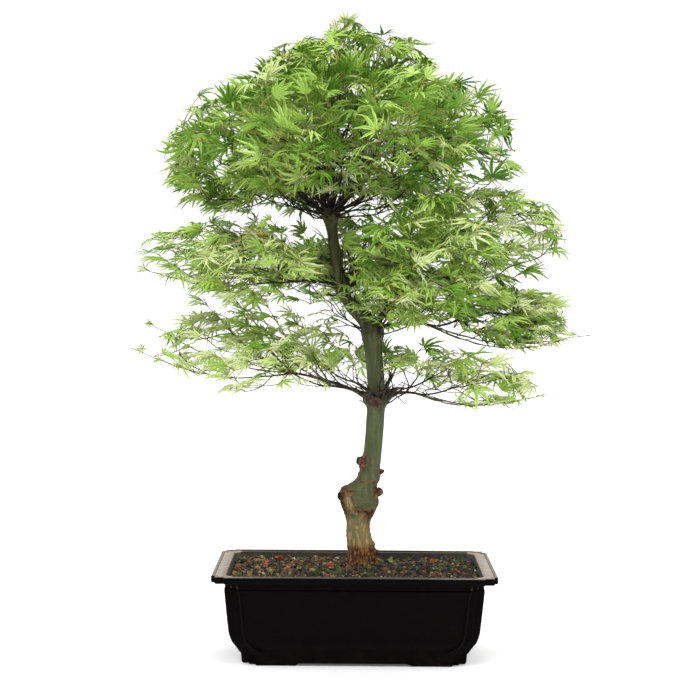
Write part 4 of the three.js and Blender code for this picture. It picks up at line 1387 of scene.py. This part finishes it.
# Noise over the bark, as the size of its features and its seed, and how far each stands out on the
# rough rootstock and on the smooth bark above it.
BARK_NOISE = {
    "cracks": ((3.2, 3.2, 15), 5.0),
    "flakes": ((2.1, 2.1, 5), 9.0),
    "lumps": (13, 1.0),
    "fine": (1.7, 7.0),
}
ROUGH_RELIEF = {"cracks": -0.9, "flakes": 0.45, "fine": 0.25, "lumps": 1.1}
SMOOTH_RELIEF = {"lumps": 0.25, "flakes": 0.1, "fine": 0.05}


def bark_rows():
    """The ways and radii of the trunk, its stubs and its limbs."""
    heights = np.linspace(TRUNK_FOOT, TRUNK_TOP, 160)
    rows = [(np.array([trunk_middle(h) for h in heights]), np.array([trunk_radius(h) for h in heights]))]
    shares = np.linspace(0, 1, 8)
    for stub in STUBS:
        path = trunk_middle(stub.height) + stub_way(stub) * stub.length * shares[:, None]
        bumps = 1 + STUB_SHAPE["bumps"] * np.cos(STUB_SHAPE["waves"] * shares)
        rows.append((path, stub.radius * (1 - STUB_SHAPE["taper"] * shares) * bumps))
    shares = np.linspace(0, 1, 18)
    for mass in MASSES.values():
        controls = limb_controls(mass)
        path = np.array([limb_point(controls, s) for s in shares])
        radii = LIMB_RADIUS + (LIMB_TIP_RADIUS - LIMB_RADIUS) * shares
        radii = radii + COLLAR["extra"] * hill(shares, 0, COLLAR["length"])
        bumps = np.sin(LIMB_BUMPS["waves"] * shares + controls[2][0])
        rows.append((path, radii * (1 + LIMB_BUMPS["depth"] * bumps)))
    return rows


def noise_at(points, scale, seed=0.0):
    """Perlin noise at many points, from -1 to 1. The scale may be one number or one for each axis."""
    spots = points / np.array(scale) + seed
    return np.array([noise.noise(Vector(spot)) for spot in spots])


def bark_skin():
    """One even skin over the tubes of the trunk, its stubs and its limbs."""
    bm = bmesh.new()
    for k, (path, radii) in enumerate(bark_rows()):
        bm.from_mesh(tubes(f"bark_{k}", path[None], radii[None], 32 if k == 0 else 12, np.zeros(1)))
    holder = add_object("holder", mesh_from(bm, "bark_tubes"))
    skin = holder.modifiers.new("skin", "REMESH")
    skin.mode = "VOXEL"
    skin.voxel_size = BARK_VOXEL * MM
    evaluated = holder.evaluated_get(bpy.context.evaluated_depsgraph_get())
    mesh = bpy.data.meshes.new_from_object(evaluated)
    bpy.data.objects.remove(holder)
    bm = bmesh.new()
    bm.from_mesh(mesh)
    axes = {"use_axis_x": True, "use_axis_y": True, "use_axis_z": True}
    for _ in range(SMOOTHINGS):
        bmesh.ops.smooth_vert(bm, verts=bm.verts, factor=0.5, **axes)
    bmesh.ops.recalc_face_normals(bm, faces=bm.faces)
    return mesh_from(bm, "bark")


def read_rows(mesh, attribute):
    rows = np.empty(len(mesh.vertices) * 3, np.float32)
    mesh.vertices.foreach_get(attribute, rows)
    return rows.reshape(-1, 3).astype(float)


def relief(layers, depths):
    return sum(depth * layers[name] for name, depth in depths.items())


def bark_relief(points):
    """How far the bark stands out at many points of the skin, and the shades of its finish there."""
    heights = np.linspace(-5, TRUNK_TOP, 200)
    axis = np.array([trunk_middle(max(h, 0)) for h in heights])
    radius = np.array([trunk_radius(h) for h in heights])
    h = points[:, 2]
    dx, dy = (points[:, i] - np.interp(h, heights, axis[:, i]) for i in (0, 1))
    turn = np.arctan2(dy, dx)
    limb = smoothstep(np.hypot(dx, dy) / np.interp(h, heights, radius), *LIMB_FROM)
    limb[h > TRUNK_TOP - 4] = 1
    layers = {name: noise_at(points, *layer) for name, layer in BARK_NOISE.items()}
    lumps = layers["lumps"]

    facing = np.clip(np.cos(turn - radians(GRAFT_LINE["dip_turn"])), 0, 1)
    line = GRAFT_LINE["height"] - GRAFT_LINE["dip"] * smoothstep(facing, *GRAFT_LINE["sides"])
    line = line + GRAFT_LINE["waves"] * noise_at(points, 7, 3.0)
    rough = smoothstep(line - h, -0.8, 1.2)
    out = rough * relief({**layers, "cracks": np.abs(layers["cracks"])}, ROUGH_RELIEF)
    lip = hill(line - LIP["below"] - h, 0, LIP["spread"])
    out += LIP["extra"] * lip * (1 + 0.6 * lumps)
    out += (1 - rough) * relief(layers, SMOOTH_RELIEF)
    ribs = np.sin(ROOT_RIBS["count"] * turn + ROOT_RIBS["turn"]) * ROOT_RIBS["depth"]
    out += ribs * np.exp(-np.clip(h, 0, None) / ROOT_RIBS["height"]) * (1 - limb)
    above = h - RING_SCAR["height"] - RING_SCAR["dip"] * np.sin(turn)
    ring = hill(above, 0, RING_SCAR["spread"]) * (1 - limb)
    out += RING_SCAR["out"] * ring

    scar = ring + LIP["scar"] * lip
    for height, knob_turn, size, knob_out in KNOBS:
        place = trunk_middle(height) + trunk_radius(height) * level_way(knob_turn)
        near = np.exp(-np.sum(((points - place) / size) ** 2, axis=1))
        out += knob_out * near * (1 + 0.8 * layers["flakes"])
        if SCARRED[0] < height < SCARRED[1]:
            scar += 1.1 * near
    dead = np.zeros(len(points))
    for stub in STUBS:
        end = trunk_middle(stub.height) + stub_way(stub) * stub.length
        near = np.linalg.norm(points - end, axis=1)
        if stub.end != "knob":
            reach = stub.radius * (1.6 if stub.end == "dead" else 1.0)
            dead += smoothstep(-near, -reach, -0.5 * reach)
        scar += smoothstep(-near, -stub.radius * 3.6, -stub.radius * 1.6)

    out *= 1 - LIMB_RELIEF * limb
    # Painted shade round the whorls, added to the limbs' mask.
    node = np.zeros(len(points))
    for height in WHORLS.values():
        patchy = WHORL_SHADE["least"] + WHORL_SHADE["more"] * noise_at(points, 6, 2.0 + height)
        node += hill(h, height, WHORL_SHADE["spread"]) * patchy
    limb = limb + node * (h > WHORL_SHADE["above"])
    foot = smoothstep(-h, -34, -19) * (1 + 0.35 * lumps)
    return out, {"rough": rough, "scar": scar, "foot": foot, "limb": limb, "dead": dead}


def make_bark(finish):
    mesh = bark_skin()
    points, normals = read_rows(mesh, "co") / MM, read_rows(mesh, "normal")
    out, shades = bark_relief(points)
    set_points(mesh, place_tree(points + normals * out[:, None]))
    set_shades(mesh, **{name: np.clip(values, 0, 1) for name, values in shades.items()})
    mesh.update()
    finished_piece(mesh, finish, replaced=["trunk"] + [f"limb_{name}" for name in MASSES])


# ---------------------------------------------------------------- soil

SOIL_INSET = 17.6
SOIL_CORNER = 20
SOIL_BUMPS = {"height": 1.1, "size": 8.5, "seed": 3.0}
GRAIN_SPACING = 3.3
GRAIN_STRAY = 1.4
Grain = namedtuple("Grain", "dark light share size")
GRAINS = {
    "dark": Grain("140e08", "38281a", 0.4, 2.4),
    "brown": Grain("3a2818", "755436", 0.24, 2.5),
    "tan": Grain("6e5638", "a48858", 0.14, 2.0),
    "moss": Grain("2a3216", "5b6630", 0.14, 2.2),
    "rust": Grain("6a3420", "a85a30", 0.04, 1.8),
    "pale": Grain("8f9a90", "c6cec2", 0.015, 1.4),
}
MOSS_CLUMPS = {"size": 16, "seed": 0.5, "moss": 0.25, "dark": -0.3}
CLODS = {"share": 0.14, "size": 1.7}  # grains that hold together as clods, and how much larger
FOOT_MOSS = {"reach": 34, "middle": 16, "spread": 10, "rise": 3.4}
LEAF_BITS = [
    (-87, 58),
    (-84, 54),
    (-27, -8),
    (-24, -4),
    (89, 50),
    (93, 46),
    (-98, 17),
    (-73, 9),
    (112, -30),
]
LEAF_BIT = {"pieces": 3, "stray": 1.6, "size": (4.4, 2.6, 0.8), "range": (0.7, 1.2), "rise": 3}
SPROUT = {
    "at": (42, 40),
    "blades": 14,
    "stray": 3.2,
    "size": (0.9, 0.9, 3.6),
    "range": (0.6, 1.3),
    "rise": 3.4,
}
FALLEN_TWIG = {"way": [(55, 30), (62, 37), (71, 48), (80, 55)], "radii": (1.1, 1.0, 0.8, 0.5), "rise": 2.6}


def soil_heights(x, y):
    """The height of the soil at many places: its solid's own, roughened, with moss at the trunk's foot."""
    solid = frame["nodes"]["soil"].data
    corners = [vert.co / MM for vert in solid.vertices]
    surface = BVHTree.FromPolygons(corners, [face.vertices[:] for face in solid.polygons])
    above = POT_HEIGHT + 100
    hits = [surface.ray_cast(Vector((a, b, above)), Vector((0, 0, -1)))[0] for a, b in zip(x, y)]
    heights = np.array([hit.z if hit else SOIL_EDGE for hit in hits])
    past = np.clip(from_foot(x, y) - FOOT_MOSS["middle"], 0, None)
    rise = FOOT_MOSS["rise"] * hill(past, 0, FOOT_MOSS["spread"])
    bumps = noise_at(np.stack([x, y, 0 * x], axis=1), SOIL_BUMPS["size"], SOIL_BUMPS["seed"])
    return heights + rise + SOIL_BUMPS["height"] * bumps


def from_foot(x, y):
    return np.hypot(x - TREE_PLACE[0] - TRUNK_COURSE[0][0], y)


def in_soil(x, y, margin):
    """Whether a place is inside the soil's outline, with its round corners."""
    hx, hy = POT_LENGTH / 2 - SOIL_INSET - margin, POT_WIDTH / 2 - SOIL_INSET - margin
    ox, oy = np.clip(np.abs(x) - hx + SOIL_CORNER, 0, None), np.clip(np.abs(y) - hy + SOIL_CORNER, 0, None)
    return (np.abs(x) < hx) & (np.abs(y) < hy) & (np.hypot(ox, oy) < SOIL_CORNER)


def make_soil_bed(finish):
    """The soil's own solid again, with its corners joined, under the grains."""
    bm = bmesh.new()
    bm.from_mesh(frame["nodes"]["soil"].data)
    bmesh.ops.remove_doubles(bm, verts=bm.verts, dist=0.01 * MM)
    finished_piece(mesh_from(bm, "soil_bed"), finish, replaced=["soil"])


def turns_of(rng, count):
    """Random turns, as matrices, from random quaternions."""
    w, x, y, z = unit(rng.normal(size=(count, 4))).T
    rows = [
        [1 - 2 * (y * y + z * z), 2 * (x * y - z * w), 2 * (x * z + y * w)],
        [2 * (x * y + z * w), 1 - 2 * (x * x + z * z), 2 * (y * z - x * w)],
        [2 * (x * z - y * w), 2 * (y * z + x * w), 1 - 2 * (x * x + y * y)],
    ]
    return np.moveaxis(np.array(rows), -1, 0)


def add_stones(name, places, sizes, finish, rng):
    """Many rough stones as one piece, each with its own place and its own size each way."""
    bm = bmesh.new()
    bmesh.ops.create_icosphere(bm, subdivisions=1, radius=1)
    ball = np.array([vert.co for vert in bm.verts])
    faces = [[vert.index for vert in face.verts] for face in bm.faces]
    bm.free()
    count = len(places)
    rough = ball[None] * (1 + rng.uniform(-0.22, 0.22, (count, len(ball), 1)))
    points = np.einsum("nij,nkj->nki", turns_of(rng, count), rough * sizes[:, None]) + places[:, None]
    tint = np.repeat(rng.random(count)[:, None], len(ball), axis=1)
    finished_piece(joined_mesh(name, points, faces, tint=tint), finish, smooth=False)


def grain_kinds(x, y, rng):
    """The kind of grain at each place: moss in clumps and at the trunk's foot, more tan to the left."""
    kinds = list(GRAINS)
    shares = np.array([grain.share for grain in GRAINS.values()])
    kind = rng.choice(len(kinds), size=len(x), p=shares / shares.sum())
    clumps = noise_at(np.stack([x, y, 0 * x], axis=1), MOSS_CLUMPS["size"], MOSS_CLUMPS["seed"])
    near = from_foot(x, y) < FOOT_MOSS["reach"]
    chance = rng.random(len(x))
    for where, old, new in (
        (clumps > MOSS_CLUMPS["moss"], "brown", "moss"),
        (clumps < MOSS_CLUMPS["dark"], "moss", "dark"),
        (near, "tan", "moss"),
        (near, "rust", "dark"),
        ((x < 0) & (chance < 0.16), "dark", "tan"),
        ((x > 15) & (chance < 0.5), "tan", "dark"),
        ((x > 15) & (chance < 0.35), "brown", "dark"),
    ):
        kind[where & (kind == kinds.index(old))] = kinds.index(new)
    return kind


def make_grains(rng):
    xs = np.arange(-POT_LENGTH / 2, POT_LENGTH / 2, GRAIN_SPACING)
    ys = np.arange(-POT_WIDTH / 2, POT_WIDTH / 2, GRAIN_SPACING)
    x, y = (axis.ravel() for axis in np.meshgrid(xs, ys))
    x = x + rng.uniform(-GRAIN_STRAY, GRAIN_STRAY, len(x))
    y = y + rng.uniform(-GRAIN_STRAY, GRAIN_STRAY, len(y))
    keep = in_soil(x, y, 1.2)
    x, y = x[keep], y[keep]
    places = np.column_stack([x, y, soil_heights(x, y) + rng.uniform(-0.5, 1.4, len(x))])
    kind = grain_kinds(x, y, rng)
    for k, (name, grain) in enumerate(GRAINS.items()):
        own = places[kind == k]
        clods = np.where(rng.random((len(own), 1)) < CLODS["share"], CLODS["size"], 1)
        sizes = clods * grain.size * rng.uniform(0.6, 1.4, (len(own), 1))
        sizes = sizes * rng.uniform(0.55, 1.25, (len(own), 3))
        add_stones(f"grains_{name}", own, sizes, soil_finish(f"grain_{name}", grain.dark, grain.light), rng)


def scatter(name, middles, kind, finish, rng):
    """Stones strewn round some middles on the soil."""
    places = middles + rng.normal(0, kind["stray"], middles.shape)
    heights = soil_heights(*places.T) + kind["rise"]
    sizes = np.array(kind["size"]) * rng.uniform(*kind["range"], (len(places), 1))
    add_stones(name, np.column_stack([places, heights]), sizes, finish, rng)


def make_litter(rng):
    """Bits of fallen leaf, a sprout and a twig, on the soil."""
    bits = np.repeat(np.array(LEAF_BITS, float), LEAF_BIT["pieces"], axis=0)
    scatter("leaf_bits", bits, LEAF_BIT, soil_finish("fallen_leaf", "7c3216", "c05a24", rough=0.7), rng)
    blades = np.tile(np.array(SPROUT["at"]), (SPROUT["blades"], 1))
    scatter("sprout", blades, SPROUT, soil_finish("sprout", "4a6420", "86a440", rough=0.7), rng)
    way = np.array(FALLEN_TWIG["way"], float)
    path = np.column_stack([way, soil_heights(*way.T) + FALLEN_TWIG["rise"]])
    twig = tubes("fallen_twig", path[None], np.array([FALLEN_TWIG["radii"]]), 6, np.zeros(1))
    finished_piece(twig, soil_finish("fallen_twig", "5a3a28", "8a6448", rough=0.8))


# ---------------------------------------------------------------- foliage

# The kinds of leaf: blade, paler blade and midrib colours, and the colour of the blade's mottling.
LEAF_KINDS = {
    "deep": ("5f8b24", "759f38", "47701c", "8fb650"),
    "mid": ("82a63a", "9fbf56", "5f882a", "bcd680"),
    "fresh": ("9cbf4a", "b8d36e", "719834", "d6e49a"),
    "striped": ("abc264", "ccd892", "5f8236", "dde6b4"),
    "cream": ("d0dc92", "e4ebba", "7f9c48", "eef2cc"),
    "bronze": ("8f9440", "a99c58", "6f7a32", "bb9a68"),
}
# The share of the sprays of each kind, in the same order, by where they grow. The paler kinds are dealt
# more to the low tiers and the shoots, as painted light for the light bounced up from the floor, and to the
# elbow's, fork's and inner sprays, as painted light against the dome's shade.
KIND_SHARES = {
    "head": (0.19, 0.41, 0.26, 0.12, 0.02, 0.0),
    "sunny": (0.18, 0.38, 0.2, 0.08, 0.0, 0.16),
    "elbow": (0.07, 0.29, 0.28, 0.23, 0.12, 0.01),
    "fork": (0.08, 0.29, 0.3, 0.22, 0.1, 0.01),
    "low": (0.0, 0.03, 0.2, 0.25, 0.52, 0.0),
    "inner": (0.04, 0.24, 0.28, 0.28, 0.16, 0.0),
    "shoot": (0.0, 0.04, 0.32, 0.24, 0.4, 0.0),
}
SUNNY = (75, 470)  # the dome's upper right, in from here and up, where leaves turn bronze
# Broad leaves of another form: the places they grow nearest to.
BROAD_LEAVES = [(-84, -110, 272), (210, -60, 285)]
BROAD_FORM = {"spread": 0.62, "width": 3.3, "fold": 0.12}
SHOOT_TINT = 0.45
FOLIAGE_NODES = [f"leaves_{name}" for name in MASSES]


def limb_stretches():
    """The trunk and the limbs, as stretches that foliage keeps clear of."""
    course = [course_point(TRUNK_COURSE, k / 24) for k in range(25)]
    rows = [(low, high, trunk_radius((low[2] + high[2]) / 2), ()) for low, high in zip(course, course[1:])]
    for mass in MASSES.values():
        steps = [limb_point(limb_controls(mass), 0.99 * k / 4) for k in range(5)]
        rows += [(low, high, LIMB_RADIUS, ()) for low, high in zip(steps, steps[1:])]
    return Stretches(rows)


def grow_foliage(rng):
    """The twigs' pieces, as paths, radii and tints by name, and all the leaves, with where each grows."""
    limbs = limb_stretches()
    rows, leaves, grounds = [], [], []
    for i, (name, mass) in enumerate(MASSES.items()):
        joints, own = grow_mass(name, mass, limbs, i + 1)
        rows.append(twig_paths(joints))
        leaves += own
        grounds += [mass.whorl] * len(own)
    brush, brush_radii = grow_brush(rng)
    shoots, shoot_radii, shoot_leaves = grow_shoots(limbs, rng)
    inner_leaves = brush_leaves(brush, limbs, rng.random)
    leaves += inner_leaves + shoot_leaves
    grounds += ["inner"] * len(inner_leaves) + ["shoot"] * len(shoot_leaves)
    twigs = {
        "twigs": [np.concatenate(parts) for parts in zip(*rows)],
        "brush_twigs": (brush, brush_radii, np.ones(len(brush))),
        "long_shoots": (shoots, shoot_radii, np.full(len(shoots), SHOOT_TINT)),
    }
    return twigs, leaves, grounds


def deal_kinds(leaves, grounds, rng):
    """The kind of each leaf, dealt out by spray: the leaves of one joint are of one kind."""
    sprays = {}
    for leaf, ground in zip(leaves, grounds):
        if leaf.joint not in sprays:
            sunny = ground == "head" and leaf.base[0] > SUNNY[0] and leaf.base[2] > SUNNY[1]
            shares = KIND_SHARES["sunny" if sunny else ground]
            sprays[leaf.joint] = rng.choice(len(LEAF_KINDS), p=shares)
    return np.array([sprays[leaf.joint] for leaf in leaves])


def make_leaves(leaves, grounds, rng):
    """The leaves, as one piece of each kind."""
    kind_of = deal_kinds(leaves, grounds, rng)
    bases, axes, faces_up, lengths = (column(leaves, part) for part in ("base", "axis", "face", "length"))
    forms = np.stack([rng.uniform(low, high, len(leaves)) for low, high in LEAF_FORMS.values()], axis=1)
    tints = rng.random(len(leaves))
    for place in BROAD_LEAVES:
        nearest = np.argmin(np.linalg.norm(bases - place, axis=1))
        kind_of[nearest] = list(LEAF_KINDS).index("deep")
        for form, value in BROAD_FORM.items():
            forms[nearest, list(LEAF_FORMS).index(form)] = value
    for k, (name, colours) in enumerate(LEAF_KINDS.items()):
        own = kind_of == k
        points = leaf_points(bases[own], axes[own], faces_up[own], lengths[own], forms[own])
        rib = np.tile(TEMPLATE[3], (own.sum(), 1))
        tint = np.repeat(tints[own][:, None], points.shape[1], axis=1)
        mesh = joined_mesh(f"leaves_{name}", place_tree(points), TEMPLATE_FACES, rib=rib, tint=tint)
        finished_piece(mesh, leaf_finish(name, *colours), replaced=FOLIAGE_NODES)


def make_foliage(rng):
    twigs, leaves, grounds = grow_foliage(rng)
    bark = twig_finish()
    for name, (paths, radii, tints) in twigs.items():
        mesh = tubes(name, place_tree(paths), radii, 6, tints)
        finished_piece(mesh, bark, replaced=FOLIAGE_NODES)
    paths, radii = stalk_paths(leaves)
    stalks = tubes("leaf_stalks", place_tree(paths), radii, 4, rng.random(len(leaves)))
    finished_piece(stalks, stalk_finish(), replaced=FOLIAGE_NODES)
    make_leaves(leaves, grounds, rng)


# ---------------------------------------------------------------- building the object

make_floor(floor_finish())
make_camera()
make_light()

make_pot(pot_finish())
make_soil_bed(soil_finish("soil_bed", "120e0a", "2c231a"))
make_grains(np.random.default_rng(11))
make_litter(np.random.default_rng(12))
make_bark(bark_finish())
make_foliage(np.random.default_rng(7))
